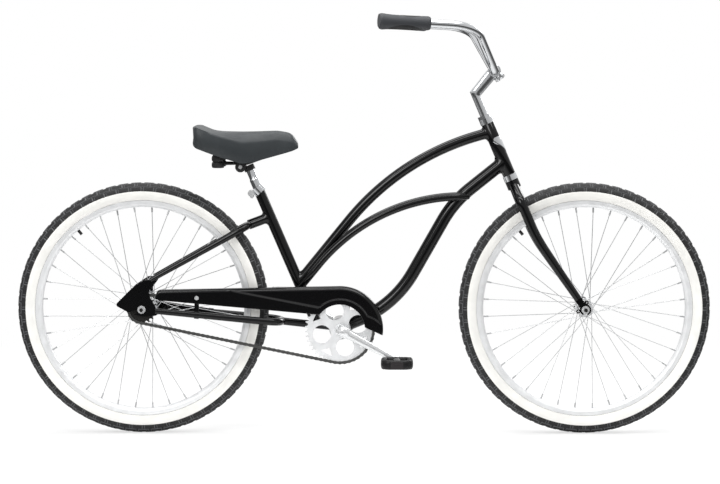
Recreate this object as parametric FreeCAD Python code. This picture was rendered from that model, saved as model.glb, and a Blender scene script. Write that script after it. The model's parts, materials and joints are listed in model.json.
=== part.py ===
"""Beach cruiser bicycle, built as separate named pieces.

Millimetres and degrees. +X is forward, +Y is the rider's left and +Z is up.
The origin is on the ground under the middle of the wheelbase.
"""
import math
import os

import FreeCAD
import Part

# Layout
TYRE_RADIUS = 332.5
WHEEL_GAP = 503.0
WHEEL_BASE = 2 * TYRE_RADIUS + WHEEL_GAP
BRACKET_DROP = 52.5
BRACKET_HEIGHT = TYRE_RADIUS - BRACKET_DROP
HEAD_ANGLE_DEG = 67.05
FORK_OFFSET = 46.0
SEAT_ANGLE_DEG = 66.7
OVERRUN = 2.0
SLIP = 0.05
CLEAR = 0.3

# Frame tubes
TUBE_WALL = 1.6
HEAD_TUBE_RADIUS = 17.0
HEAD_TUBE_WALL = 2.0
HEAD_RISE = 70.5
HEAD_LOW = TYRE_RADIUS + HEAD_RISE
HEAD_LENGTH = 147.0
TOP_TUBE_RADIUS = 14.0
TOP_TUBE_HEAD_SHARE = 0.83
TOP_TUBE_SEAT_SHARE = 0.315
TOP_TUBE_ALONG_SHARES = (0.345,)
TOP_TUBE_ASIDE_SHARES = (0.1495,)
TOP_TUBE_BEND_RADII = (680.0,)
DOWN_TUBE_RADIUS = 17.5
DOWN_TUBE_HEAD_SHARE = 0.25
DOWN_TUBE_ALONG_SHARES = (0.2744, 0.767)
DOWN_TUBE_ASIDE_SHARES = (0.0329, -0.0985)
DOWN_TUBE_BEND_RADII = (300.0, 290.0)
SIDE_TUBE_RADIUS = 10.0
SIDE_TUBE_SPREAD = 23.0
SIDE_TUBE_SEAT_SHARE = 0.28
SIDE_TUBE_ALONG_SHARES = (-0.0913, -0.025, 0.419, 0.91, 1.01)
SIDE_TUBE_ASIDE_SHARES = (-0.0092, 0.0234, 0.2327, 0.0384, -0.0015)
SIDE_TUBE_SPREAD_SHARES = (0.17, 1.0, 1.0, 1.0, 0.26)
SIDE_TUBE_BEND_RADII = (60.0, 490.0, 60.0)
SEAT_TUBE_RADIUS = 14.3
SEAT_TUBE_LENGTH = 391.5
SEAT_FOOT_SHARE = 0.39
SHELL_RADIUS = 28.5
SHELL_BORE_RADIUS = 25.65
SHELL_WIDTH = 68.0

# Rear stays and dropouts
STAY_RADIUS = 10.0
STAY_END_RADIUS = 7.5
STAY_CORNER_SPREAD = 46.0
STAY_BEND_RADIUS = 36.0
STAY_TYRE_GAP = 23.5
STAY_RISE = 17.0
SEATSTAY_RADIUS = 9.5
SEATSTAY_END_RADIUS = 6.5
SEATSTAY_CORNER_SPREAD = 42.0
SEATSTAY_BEND_RADIUS = 33.0
SEATSTAY_TYRE_GAP = 14.0
SEATSTAY_ANGLE_DEG = 38.2
SEATSTAY_BRIDGE_RADIUS = 13.0
SEATSTAY_BRIDGE_SHARE = 0.80
REAR_SPACING = 110.0
DROPOUT_THICKNESS = 5.0
DROPOUT_REACH = 79.0
DROPOUT_X_SHARES = (-0.89, -0.33, 0.11, 0.47, 0.42, 0.25, 0.27, 0.41, 0.56, 0.47, 0.05, -0.35)
DROPOUT_Z_SHARES = (0.15, 0.71, 1.0, 1.0, 0.86, 0.63, 0.43, 0.19, -0.14, -0.20, -0.23, -0.14)
DROPOUT_CORNER_SHARES = (0.08, 0.1, 0.1, 0.02, 0.05, 0.1, 0.1, 0.1, 0.06, 0.05, 0.2, 0.2)
CHAINSTAY_END_X = 36.0
CHAINSTAY_END_Z = -4.0
SEATSTAY_END_X = 24.0
SEATSTAY_END_Z = 78.0
AXLE_RADIUS = 4.75
SLOT_WIDTH = 10.0
SLOT_TURN_DEG = 200.0

# Headset
STEERER_RADIUS = 12.7
CUP_RADIUS = 18.5
CUP_HEIGHT = 9.0
CUP_FLOOR = 3.0
CUP_LIP = 1.3
CUP_SKIRT = 12.0
CUP_SKIRT_WALL = 1.5
CONE_HEIGHT = 6.0
HEAD_NUT_HEIGHT = 8.5
HEAD_NUT_RADIUS = 18.5
BADGE_WIDTH = 30.0
BADGE_HEIGHT = 42.0
BADGE_THICKNESS = 1.2
BADGE_PLACE_SHARE = 0.62
BADGE_WRAP_SHARE = 0.85
BADGE_TIP_SHARE = 0.7
BADGE_POINT_SHARE = 0.55

# Fork
CROWN_RADIUS = 18.0
CROWN_HEIGHT = 24.0
BLADE_RADIUS = 13.0
BLADE_END_RADIUS = 10.0
BLADE_DROP = 44.0
BLADE_SPREAD = 52.5
BLADE_SHOULDER_RADIUS = 34.0
BLADE_BEND_HEIGHT = 223.0
BLADE_BEND_RADIUS = 380.0
BLADE_END_GAP = 34.0
FRONT_SPACING = 100.0
FORK_END_THICKNESS = 5.0
FORK_END_RADIUS = 15.0
EYELET_RADIUS = 5.5
EYELET_BORE_RADIUS = 2.6
EYELET_HIGH_X = 3.0
EYELET_HIGH_Z = 19.3
EYELET_LOW_X = -19.0
EYELET_LOW_Z = -3.9

# Stem, handlebar and grips
QUILL_RADIUS = 11.1
QUILL_DEPTH = 70.0
STEM_RISE = 61.2
STEM_REACH_X = 50.0
STEM_REACH_Z = 61.0
STEM_BEND_RADIUS = 29.0
CLAMP_RADIUS = 17.0
CLAMP_WIDTH = 38.0
CLAMP_EAR = 13.0
CLAMP_EAR_WIDTH = 18.0
CLAMP_EAR_THICKNESS = 19.5
CLAMP_EAR_ROUND = 5.0
CLAMP_EAR_DEG = -52.0
CLAMP_SLIT = 2.4
CLAMP_BOLT_RADIUS = 3.0
BOLT_HEAD_RADIUS = 5.0
BOLT_HEAD_HEIGHT = 4.5
BAR_RADIUS = 11.1
BAR_CENTRE_RADIUS = 12.7
BAR_WALL = 1.8
BAR_CENTRE = 42.0
BAR_RISE_X = -58.0
BAR_RISE_Y = 283.0
BAR_RISE_Z = 116.0
BAR_SWEEP_X = -300.0
BAR_SWEEP_Y = 340.0
BAR_SWEEP_Z = 129.0
BAR_LOW_RADIUS = 62.0
BAR_HIGH_RADIUS = 105.0
GRIP_LENGTH = 132.0
GRIP_WALL = 3.2
GRIP_END_RADIUS = 19.3
GRIP_MID_RADIUS = 16.8
GRIP_RADIUS_SHARES = (0.75, 1.0, 1.0, 0.55, 0.0, 0.1, 0.4, 0.2)
GRIP_ALONG_SHARES = (0.0, 0.02, 0.07, 0.14, 0.4, 0.7, 0.97, 1.0)

# Wheels
TYRE_HEIGHT = 53.0
RIM_BEAD_RADIUS = TYRE_RADIUS - TYRE_HEIGHT
RIM_FLANGE = 6.0
RIM_DEPTH = 12.0
RIM_HALF_WIDTH = 16.0
RIM_FLOOR_HALF = 9.0
RIM_WALL = 2.0
TYRE_HALF_WIDTH = 27.0
TYRE_WALL = 3.0
TREAD_THICKNESS = 6.0
WHITE_THICKNESS = 1.0
BEAD_WIDTH = 3.6
TYRE_WIDE_SHARE = 0.49
TYRE_SIDE_SHARE = 0.72
TYRE_SIDE_UP_SHARE = 0.45
TYRE_INSIDE_SHARE = 0.5
TUBE_GAP = 0.8
TUBE_RADIUS = 20.0
TUBE_RUBBER = 1.6
TUBE_SIDES = 8
VALVE_RADIUS = 4.0
VALVE_LENGTH = 34.0
VALVE_TURN_DEG = 130.0
SPOKES_PER_SIDE = 18
SPOKE_RADIUS = 1.0
SPOKE_CROSS_DEG = 60.0
SPOKE_RIM_OFFSET = 3.0
NIPPLE_RADIUS = 2.2
NIPPLE_LENGTH = 13.0
FRONT_FLANGE_RADIUS = 22.0
FRONT_FLANGE_PLACE = 31.5
FRONT_HUB_RADIUS = 13.0
FRONT_HUB_END = 38.0
REAR_FLANGE_RADIUS = 33.0
REAR_FLANGE_PLACE = 28.0
REAR_HUB_RADIUS = 21.0
REAR_HUB_END = 36.0
FLANGE_THICKNESS = 3.0
FLANGE_EDGE = 3.0
BEARING_RADIUS = 11.0
BEARING_WIDTH = 6.0
HUB_BORE_RADIUS = 6.5
HUB_CONE_RADIUS = 7.4
LOCKNUT_RADIUS = 8.5
AXLE_STICKOUT = 17.0
AXLE_GROOVE_WIDTH = 0.8
AXLE_GROOVE_STEP = 0.55
AXLE_END_STEP = 0.25
WASHER_RADIUS = 10.5
WASHER_THICKNESS = 1.8
NUT_RADIUS = 8.6
NUT_HEIGHT = 8.5

# Drive
CHAIN_PITCH = 12.7
RING_TEETH = 44
SPROCKET_TEETH = 18
CHAINSTAY_ROOM = 192.0
CHAIN_LINE = 44.0
ROLLER_RADIUS = 3.85
TOOTH_HEIGHT = 3.2
TOOTH_TIP = 1.8
TOOTH_SEAT_DEG = 58.0
RING_THICKNESS = 2.8
PLATE_HEIGHT = 8.2
PLATE_WAIST = 6.4
PLATE_THICKNESS = 1.1
LINK_INNER_WIDTH = 3.7
PIN_RADIUS = 1.8
PIN_STICKOUT = 0.5
RING_HOLE_RADIUS = 24.0
RING_HOLE_PLACE = 49.5
RING_HOLE_TURN_DEG = 16.0
RING_HOLES = 4
RING_WINDOW_INNER = 57.0
RING_WINDOW_OUTER = 74.0
RING_WINDOW_HALF_DEG = 13.0
DRIVE_PIN_PLACE = 29.0
DRIVE_PIN_RADIUS = 4.0
DRIVER_RADIUS = 17.0
DRIVER_FLANGE = 3.0
BRAKE_ARM_LENGTH = 175.0
BRAKE_ARM_WIDTH = 20.0
BRAKE_ARM_THICKNESS = 3.5
BRAKE_ARM_PLACE = 39.0
BRAKE_CAP_RADIUS = 23.0
CLIP_WALL = 2.0
CLIP_WIDTH = 12.0
CRANK_LENGTH = 170.0
CRANK_TURN_DEG = 28.0
SPINDLE_RADIUS = 11.9
CRANK_BEND_RADIUS = 16.0
CRANK_LEAN = 11.0
ARM_ROOT_WIDTH = 20.0
ARM_END_WIDTH = 16.0
ARM_THICKNESS = 12.5
ARM_CORNER = 4.0
EYE_RADIUS = 12.5
EYE_WIDTH = 15.0
CRANK_CUP_FLANGE = 2.5
CRANK_CUP_DEPTH = 13.0
CRANK_CUP_WALL = 2.4
CRANK_BEARING_WIDTH = 7.0
CRANK_CONE_RADIUS = 16.0
PEDAL_AXLE_RADIUS = 6.2
PEDAL_GAP = 6.0
PEDAL_WIDTH = 92.0
PEDAL_LENGTH = 84.0
PEDAL_HEIGHT = 23.0
PEDAL_WALL = 9.0
PEDAL_BARREL_RADIUS = 11.5
PEDAL_CHAMFER = 14.0
PEDAL_TOOTH = 2.0
PEDAL_TEETH = 6
PEDAL_WAIST_SHARE = 0.8

# Chain guard
GUARD_OUTER_RADIUS = 114.0
GUARD_INNER_RADIUS = 66.0
GUARD_PANEL_RADIUS = 78.0
GUARD_FACE = 54.5
GUARD_SHEET = 1.6
GUARD_PANEL_RISE = 2.0
GUARD_DEPTH = 15.0
GUARD_TAIL_SHORT = 40.4
GUARD_TAIL_TOP = 104.0
GUARD_TAIL_LOW = 75.0
GUARD_TAIL_ROUND = 12.0
GUARD_HEEL_DEG = 144.0
GUARD_TIP_DEG = -5.0
GUARD_TIP_INNER_DEG = 4.0
GUARD_PANEL_LENGTH = 322.0
GUARD_PANEL_HEEL_DEG = 134.0
GUARD_PANEL_TIP_DEG = 21.0
GUARD_SCREW_PLACE = 377.0
GUARD_STRAP_WIDTH = 12.0
GUARD_STRAP_THICKNESS = 2.0
GUARD_SCREW_RISE = 83.0
SCREW_RADIUS = 2.4
SCREW_HEAD_RADIUS = 5.5
SCREW_HEAD_HEIGHT = 2.6
FRONT_STRAP_PLACE = 20.0

# Seat
POST_RADIUS = 12.7
POST_WALL = 2.0
POST_TOP_RADIUS = 11.0
POST_NECK = 34.0
POST_LENGTH = 250.0
SEAT_COLLAR_HEIGHT = 19.0
SEAT_COLLAR_WALL = 3.2
SEAT_COLLAR_EAR = 11.0
SEAT_COLLAR_EAR_WIDTH = 18.0
SADDLE_RISE = 66.0
SADDLE_CLAMP_BACK = 19.0
SADDLE_CLAMP_UP = 8.0
SADDLE_CLAMP_RADIUS = 14.0
SADDLE_CLAMP_WIDTH = 52.0
SADDLE_CLAMP_COLLAR = 4.0
SADDLE_CLAMP_HEIGHT = 24.0
RAIL_RADIUS = 3.5
RAIL_SPREAD = 20.0
RAIL_RISE = 9.0
RAIL_BEND_RADIUS = 20.0
RAIL_NOSE_SHARE = 0.14
SADDLE_NOSE = 151.5
SADDLE_LENGTH = 275.0
SADDLE_HALF_WIDTH = 116.0
SADDLE_HEIGHT = 104.0
SADDLE_FLOOR = 5.0
SADDLE_STATION_SHARES = (0.0, 0.05, 0.2, 0.36, 0.53, 0.72, 0.9, 1.0)
SADDLE_HALF_SHARES = (0.13, 0.2, 0.25, 0.34, 0.62, 0.94, 1.0, 0.93)
SADDLE_LOW_SHARES = (0.42, 0.37, 0.22, 0.07, 0.0, 0.12, 0.3, 0.42)
SADDLE_SHOULDER_SHARES = (0.5, 0.58, 0.64, 0.6, 0.56, 0.76, 0.92, 0.78)
SADDLE_CROWN_SHARES = (0.6, 0.74, 0.85, 0.83, 0.81, 0.86, 0.97, 0.88)
SADDLE_ROOF_SHARES = (0.5, 0.47, 0.42, 0.37, 0.36, 0.46, 0.56, 0.6)
SADDLE_SIDE_BULGE_SHARE = 1.04
SADDLE_FOOT_SHARE = 0.92
SADDLE_SHOULDER_IN_SHARE = 0.88
SADDLE_SKIRT = 9.0
SADDLE_BASE_THICKNESS = 4.0
BUMPER_RADIUS = 17.0
BUMPER_PLACE_SHARE = 0.76
BUMPER_SPREAD = 46.0
BUMPER_WAIST_SHARE = 0.72

X_AXIS = FreeCAD.Vector(1, 0, 0)
Y_AXIS = FreeCAD.Vector(0, 1, 0)
Z_AXIS = FreeCAD.Vector(0, 0, 1)
ORIGIN = FreeCAD.Vector(0, 0, 0)
FULL_TURN_DEG = 360.0
HALF_SHARE = 0.5
BEND_ROOM_SHARE = 1.005
RIGHT = -1
LEFT = 1


def vec(x, y, z):
    return FreeCAD.Vector(x, y, z)


def polar(radius, angle_deg, y=0.0):
    """Point at an angle in the XZ plane, measured from +X towards +Z."""
    angle = math.radians(angle_deg)
    return vec(radius * math.cos(angle), y, radius * math.sin(angle))


def placed(shape, base, axis=Y_AXIS, turn_deg=0.0):
    """Copy of a shape turned about the origin, then moved to base."""
    place = FreeCAD.Placement(base, FreeCAD.Rotation(axis, turn_deg))
    return shape.transformed(place.toMatrix(), True)


def mirrored(shape):
    """Copy of a shape on the other side of the bicycle's middle plane."""
    return shape.mirror(ORIGIN, Y_AXIS)


def both_sides(shape):
    return Part.makeCompound([shape, mirrored(shape)])


def corner_arc(before, corner, after, radius):
    """First, middle and last point of the tangent arc that rounds a corner."""
    back = (before - corner).normalize()
    ahead = (after - corner).normalize()
    half = back.getAngle(ahead) / 2
    reach = radius / math.tan(half)
    inward = (back + ahead).normalize()
    middle = corner + inward * (radius / math.sin(half) - radius)
    return corner + back * reach, middle, corner + ahead * reach


def rounded_wire(points, radii, closed):
    """Straight runs through points, with each corner rounded by a tangent arc."""
    count = len(points)
    stops = []
    for i, corner in enumerate(points):
        loose_end = not closed and i in (0, count - 1)
        if loose_end or radii[i] == 0:
            stops.append((corner, None, corner))
        else:
            stops.append(corner_arc(points[i - 1], corner, points[(i + 1) % count], radii[i]))
    edges = []
    for i, (first, middle, last) in enumerate(stops):
        if middle is not None:
            edges.append(Part.Arc(first, middle, last).toShape())
        if closed or i < count - 1:
            follow = stops[(i + 1) % count][0]
            edges.append(Part.LineSegment(last, follow).toShape())
    return Part.Wire(edges)


def swept_disc(path, start, direction, radius):
    """Solid round bar along a path."""
    ring = Part.Wire(Part.Circle(start, direction, radius).toShape())
    return path.makePipeShell([ring], True, False)


def fitted(points, bend_radii):
    """Bend radii, made smaller where the bends at the ends of a run need more than the run."""
    needs = [0]
    for before, at, after, radius in zip(points, points[1:], points[2:], bend_radii):
        needs.append(radius * math.tan((at - before).getAngle(after - at) / 2))
    needs.append(0)
    shares = []
    for i, (start, end) in enumerate(zip(points, points[1:])):
        room = (end - start).Length * BEND_ROOM_SHARE
        shares.append(room / max(needs[i] + needs[i + 1], room))
    return [radius * min(a, b) for radius, a, b in zip(bend_radii, shares, shares[1:])]


def bar(points, bend_radii, radius):
    """Solid round bar through points, bent with the given radii at the inner points."""
    path = rounded_wire(points, (0, *fitted(points, bend_radii), 0), False)
    return swept_disc(path, points[0], points[1] - points[0], radius)


def pipe(points, bend_radii, radius, wall):
    """Hollow round tube through points, as (tube, the same tube filled)."""
    outer = bar(points, bend_radii, radius)
    return outer.cut(bar(points, bend_radii, radius - wall)), outer


def straight(start, end, radius):
    run = end - start
    return Part.makeCylinder(radius, run.Length, start, run)


def straight_pipe(start, end, radius, wall):
    """Hollow straight tube, as (tube, the same tube filled)."""
    outer = straight(start, end, radius)
    return outer.cut(straight(start, end, radius - wall)), outer


def cone(start, end, start_radius, end_radius):
    run = end - start
    return Part.makeCone(start_radius, end_radius, run.Length, start, run)


def turned(profile, base=ORIGIN, axis=Y_AXIS):
    """Solid of revolution; the profile lists (radius, place along the axis)."""
    if axis == Y_AXIS:
        points = [vec(r, along, 0) for r, along in profile]
    else:
        points = [vec(r, 0, along) for r, along in profile]
    face = Part.Face(Part.makePolygon(points + points[:1]))
    return face.revolve(ORIGIN, axis, FULL_TURN_DEG).translated(base)


def ring(inner, outer, low, high):
    """Plain ring about the Y axis."""
    return turned(((inner, low), (outer, low), (outer, high), (inner, high)))


def plate(points, radii, low, high):
    """Flat plate from an outline in XZ, between two places along Y."""
    outline = rounded_wire([vec(p.x, low, p.z) for p in points], radii, True)
    return Part.Face(outline).extrude(Y_AXIS * (high - low))


def prism(centre, direction, radius, length, sides):
    """Straight bar of a regular polygon section."""
    across = direction.cross(Y_AXIS).normalize()
    other = direction.cross(across).normalize()
    corners = []
    for i in range(sides):
        turn = 2 * math.pi * i / sides
        corners.append(centre + across * (radius * math.cos(turn)) + other * (radius * math.sin(turn)))
    face = Part.Face(Part.makePolygon(corners + corners[:1]))
    return face.extrude(direction * length)


def hexagon(radius, low, high):
    """Hexagonal bar along Y, centred on the axis."""
    corners = [polar(radius, FULL_TURN_DEG * i / 6, low) for i in range(6)]
    face = Part.Face(Part.makePolygon(corners + corners[:1]))
    return face.extrude(Y_AXIS * (high - low))


def aimed(shape, base, direction):
    """Shape built along +Z, turned to point along a direction from base."""
    place = FreeCAD.Placement(base, FreeCAD.Rotation(Z_AXIS, direction))
    return shape.transformed(place.toMatrix(), True)


def main_solid(shape):
    """Largest solid left by a cut, so that a mitred tube keeps no loose sliver."""
    return max(shape.Solids, key=lambda solid: solid.Volume)


def edge_face(stops):
    """Face from (point, middle of the arc to the next point or None)."""
    edges = []
    for i, (point, middle) in enumerate(stops):
        follow = stops[(i + 1) % len(stops)][0]
        if middle is None:
            edges.append(Part.LineSegment(point, follow).toShape())
        else:
            edges.append(Part.Arc(point, middle, follow).toShape())
    return Part.Face(Part.Wire(edges))


def blend(start, end, share):
    return start + (end - start) * share


# Places that several pieces share
RING_PITCH_RADIUS = CHAIN_PITCH / (2 * math.sin(math.pi / RING_TEETH))
SPROCKET_PITCH_RADIUS = CHAIN_PITCH / (2 * math.sin(math.pi / SPROCKET_TEETH))


def chain_lean(distance):
    """Angle between the straight chain runs and the line of the two axles."""
    return math.asin((RING_PITCH_RADIUS - SPROCKET_PITCH_RADIUS) / distance)


def links_round(distance):
    """Number of links that a taut chain takes at a distance between axles."""
    lean = chain_lean(distance)
    runs = 2 * distance * math.cos(lean) / CHAIN_PITCH
    on_ring = RING_TEETH * (math.pi + 2 * lean) / (2 * math.pi)
    on_sprocket = SPROCKET_TEETH * (math.pi - 2 * lean) / (2 * math.pi)
    return runs + on_ring + on_sprocket


LINK_COUNT = 2 * round(links_round(TYRE_RADIUS + CHAINSTAY_ROOM) / 2)


def chain_distance():
    """Distance between axles that closes the chain on a whole number of links."""
    low = RING_PITCH_RADIUS + SPROCKET_PITCH_RADIUS
    high = LINK_COUNT * CHAIN_PITCH
    for _ in range(60):
        middle = (low + high) / 2
        if links_round(middle) < LINK_COUNT:
            low = middle
        else:
            high = middle
    return low


AXLE_DISTANCE = chain_distance()
GUARD_TAIL_LENGTH = AXLE_DISTANCE - GUARD_TAIL_SHORT
REAR_HUB = vec(-WHEEL_BASE / 2, 0, TYRE_RADIUS)
FRONT_HUB = vec(WHEEL_BASE / 2, 0, TYRE_RADIUS)
AXLE_RISE = TYRE_RADIUS - BRACKET_HEIGHT
CRANK_AXLE = vec(REAR_HUB.x + math.sqrt(AXLE_DISTANCE**2 - AXLE_RISE**2), 0, BRACKET_HEIGHT)
STEER_TURN_DEG = HEAD_ANGLE_DEG - 90
STEER_UP = polar(1, 180 - HEAD_ANGLE_DEG)
STEER_AHEAD = polar(1, 90 - HEAD_ANGLE_DEG)
STEER_FOOT = FRONT_HUB - STEER_AHEAD * FORK_OFFSET
SEAT_TURN_DEG = SEAT_ANGLE_DEG - 90
SEAT_UP = polar(1, 180 - SEAT_ANGLE_DEG)
SEAT_AHEAD = polar(1, 90 - SEAT_ANGLE_DEG)
STAY_APEX = vec(REAR_HUB.x + TYRE_RADIUS + STAY_TYRE_GAP + STAY_RADIUS, 0, BRACKET_HEIGHT + STAY_RISE)
SEATSTAY_APEX = REAR_HUB + polar(TYRE_RADIUS + SEATSTAY_TYRE_GAP + SEATSTAY_RADIUS, SEATSTAY_ANGLE_DEG)
SEAT_FOOT = blend(CRANK_AXLE, STAY_APEX, SEAT_FOOT_SHARE)
HEAD_HIGH = HEAD_LOW + HEAD_LENGTH
CUP_BORE_RADIUS = HEAD_TUBE_RADIUS - HEAD_TUBE_WALL
STEERER_BORE_RADIUS = QUILL_RADIUS + SLIP
CUP_STACK = CUP_HEIGHT + CLEAR + CONE_HEIGHT
STEER_TOP = HEAD_HIGH + CUP_STACK + HEAD_NUT_HEIGHT
STEM_KNEE = STEER_TOP + STEM_RISE
CROWN_TOP = HEAD_LOW - CUP_STACK
CROWN_MIDDLE = CROWN_TOP - CROWN_HEIGHT / 2
DROPOUT_PLACE = REAR_SPACING / 2 + DROPOUT_THICKNESS / 2
FLANGE_TOP = RIM_BEAD_RADIUS + RIM_FLANGE
RIM_INNER_RADIUS = RIM_BEAD_RADIUS - RIM_DEPTH
SEAT_BORE_RADIUS = POST_RADIUS + SLIP
POST_TOP = SEAT_TUBE_LENGTH + SADDLE_RISE
CLAMP_CENTRE = STEER_FOOT + STEER_UP * STEM_KNEE + vec(STEM_REACH_X, 0, STEM_REACH_Z)
ELBOW_PLACE = CHAIN_LINE + RING_THICKNESS / 2 + CRANK_BEND_RADIUS + CLEAR
EYE_PLACE = ELBOW_PLACE + CRANK_LEAN


def on_steer(along, ahead=0.0, side=0.0):
    return STEER_FOOT + STEER_UP * along + STEER_AHEAD * ahead + Y_AXIS * side


def on_seat(along, back=0.0, side=0.0):
    return SEAT_FOOT + SEAT_UP * along - SEAT_AHEAD * back + Y_AXIS * side


def steered(shape):
    """Shape built on the Z axis, moved to the steering axis."""
    return placed(shape, STEER_FOOT, Y_AXIS, STEER_TURN_DEG)


def seated(shape):
    """Shape built on the Z axis, moved to the seat tube's axis."""
    return placed(shape, SEAT_FOOT, Y_AXIS, SEAT_TURN_DEG)


def off_chord(start, end, along_shares, aside_shares):
    """Points beside the line from start to end, as shares of its length."""
    run = end - start
    aside = vec(run.z, 0, -run.x)
    return [start + run * a + aside * b for a, b in zip(along_shares, aside_shares)]


def main_tubes():
    """Head, top, down, side and seat tubes and the bracket shell, mitred to each other."""
    head, head_full = straight_pipe(on_steer(HEAD_LOW), on_steer(HEAD_HIGH), HEAD_TUBE_RADIUS, HEAD_TUBE_WALL)
    shell_start = CRANK_AXLE - Y_AXIS * (SHELL_WIDTH / 2)
    shell_end = CRANK_AXLE + Y_AXIS * (SHELL_WIDTH / 2)
    shell, shell_full = straight_pipe(shell_start, shell_end, SHELL_RADIUS, SHELL_RADIUS - SHELL_BORE_RADIUS)
    seat, seat_full = straight_pipe(SEAT_FOOT, on_seat(SEAT_TUBE_LENGTH), SEAT_TUBE_RADIUS,
                                    SEAT_TUBE_RADIUS - SEAT_BORE_RADIUS)
    top_start = on_steer(HEAD_LOW + HEAD_LENGTH * TOP_TUBE_HEAD_SHARE)
    top_end = on_seat(SEAT_TUBE_LENGTH * TOP_TUBE_SEAT_SHARE)
    corners = off_chord(top_start, top_end, TOP_TUBE_ALONG_SHARES, TOP_TUBE_ASIDE_SHARES)
    top, top_full = pipe([top_start, *corners, top_end], TOP_TUBE_BEND_RADII, TOP_TUBE_RADIUS, TUBE_WALL)
    down_start = on_steer(HEAD_LOW + HEAD_LENGTH * DOWN_TUBE_HEAD_SHARE)
    corners = off_chord(down_start, CRANK_AXLE, DOWN_TUBE_ALONG_SHARES, DOWN_TUBE_ASIDE_SHARES)
    down, down_full = pipe([down_start, *corners, CRANK_AXLE], DOWN_TUBE_BEND_RADII, DOWN_TUBE_RADIUS, TUBE_WALL)
    side_end = on_seat(SEAT_TUBE_LENGTH * SIDE_TUBE_SEAT_SHARE)
    route = off_chord(corners[0], side_end, SIDE_TUBE_ALONG_SHARES, SIDE_TUBE_ASIDE_SHARES)
    spread = [Y_AXIS * (RIGHT * SIDE_TUBE_SPREAD * share) for share in SIDE_TUBE_SPREAD_SHARES]
    route = [point + out for point, out in zip(route, spread)]
    side, _ = pipe(route, SIDE_TUBE_BEND_RADII, SIDE_TUBE_RADIUS, TUBE_WALL)
    side = main_solid(side.cut([down_full, top_full, seat_full]))
    bridge, bridge_full = straight_pipe(CRANK_AXLE, STAY_APEX, STAY_RADIUS, TUBE_WALL)
    bridge = main_solid(bridge.cut([shell_full, stay_loop()[1]]))
    return {
        "head_tube": head,
        "top_tube": main_solid(top.cut([head_full, seat_full])),
        "down_tube": main_solid(down.cut([head_full, shell_full])),
        "side_tubes": both_sides(side),
        "seat_tube": main_solid(seat.cut(bridge_full)),
        "bracket_shell": shell,
        "chainstay_bridge": bridge,
    }


def bent_loop(corner, end, radii, bend_radius):
    """Tube bent round in front of the wheel, its straight legs tapering to the dropouts."""
    radius, end_radius = radii
    flip = vec(1, -1, 1)
    start = corner + (end - corner).normalize() * (bend_radius + radius)
    other = [vec(p.x * flip.x, p.y * flip.y, p.z * flip.z) for p in (corner, start, end)]
    bend = bar([start, corner, other[0], other[1]], (bend_radius, bend_radius), radius)
    legs = [cone(start, end, radius, end_radius), cone(other[1], other[2], radius, end_radius)]
    return bend.fuse(legs).removeSplitter()


def stay_leg():
    """Corner and rear end of the right chainstay's centre line."""
    corner = STAY_APEX + Y_AXIS * (RIGHT * STAY_CORNER_SPREAD)
    end = REAR_HUB + vec(CHAINSTAY_END_X, RIGHT * DROPOUT_PLACE, CHAINSTAY_END_Z)
    return corner, end


def stay_loop():
    """Chainstay loop, as (tube, the same tube filled)."""
    corner, end = stay_leg()
    full = bent_loop(corner, end, (STAY_RADIUS, STAY_END_RADIUS), STAY_BEND_RADIUS)
    inside = bent_loop(corner, end, (STAY_RADIUS - TUBE_WALL, STAY_END_RADIUS - TUBE_WALL), STAY_BEND_RADIUS)
    return full.cut(inside), full


def seatstay_loop():
    """Seatstay loop, as (tube, the same tube filled)."""
    corner = SEATSTAY_APEX + Y_AXIS * (RIGHT * SEATSTAY_CORNER_SPREAD)
    end = REAR_HUB + vec(SEATSTAY_END_X, RIGHT * DROPOUT_PLACE, SEATSTAY_END_Z)
    full = bent_loop(corner, end, (SEATSTAY_RADIUS, SEATSTAY_END_RADIUS), SEATSTAY_BEND_RADIUS)
    slim = (SEATSTAY_RADIUS - TUBE_WALL, SEATSTAY_END_RADIUS - TUBE_WALL)
    return full.cut(bent_loop(corner, end, slim, SEATSTAY_BEND_RADIUS)), full


def rear_dropout():
    """Right dropout plate with its axle slot."""
    points = []
    for x_share, z_share in zip(DROPOUT_X_SHARES, DROPOUT_Z_SHARES):
        points.append(REAR_HUB + vec(DROPOUT_REACH * x_share, 0, DROPOUT_REACH * z_share))
    radii = [DROPOUT_REACH * share for share in DROPOUT_CORNER_SHARES]
    low = -REAR_SPACING / 2 - DROPOUT_THICKNESS
    body = plate(points, radii, low, -REAR_SPACING / 2)
    eye = Part.makeCylinder(SLOT_WIDTH / 2, DROPOUT_THICKNESS, REAR_HUB + Y_AXIS * low, Y_AXIS)
    out = polar(1, SLOT_TURN_DEG)
    aside = polar(SLOT_WIDTH / 2, SLOT_TURN_DEG + 90)
    far = REAR_HUB + out * DROPOUT_REACH
    corners = [REAR_HUB + aside, far + aside, far - aside, REAR_HUB - aside]
    return body.cut([eye, plate(corners, (0, 0, 0, 0), low, -REAR_SPACING / 2)])


def rear_triangle():
    """Stay loops, their upper bridge and the dropouts."""
    right = rear_dropout()
    left = mirrored(right)
    stays, _ = stay_loop()
    seatstays, seatstays_full = seatstay_loop()
    seat_full = straight(SEAT_FOOT, on_seat(SEAT_TUBE_LENGTH), SEAT_TUBE_RADIUS)
    bridge, _ = straight_pipe(on_seat(SEAT_TUBE_LENGTH * SEATSTAY_BRIDGE_SHARE), SEATSTAY_APEX,
                              SEATSTAY_BRIDGE_RADIUS, TUBE_WALL)
    return {
        "chainstay_loop": main_solid(stays.cut([right, left])),
        "seatstay_loop": main_solid(seatstays.cut([right, left])),
        "seatstay_bridge": main_solid(bridge.cut([seat_full, seatstays_full])),
        "rear_dropouts": Part.makeCompound([right, left]),
    }


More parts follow.
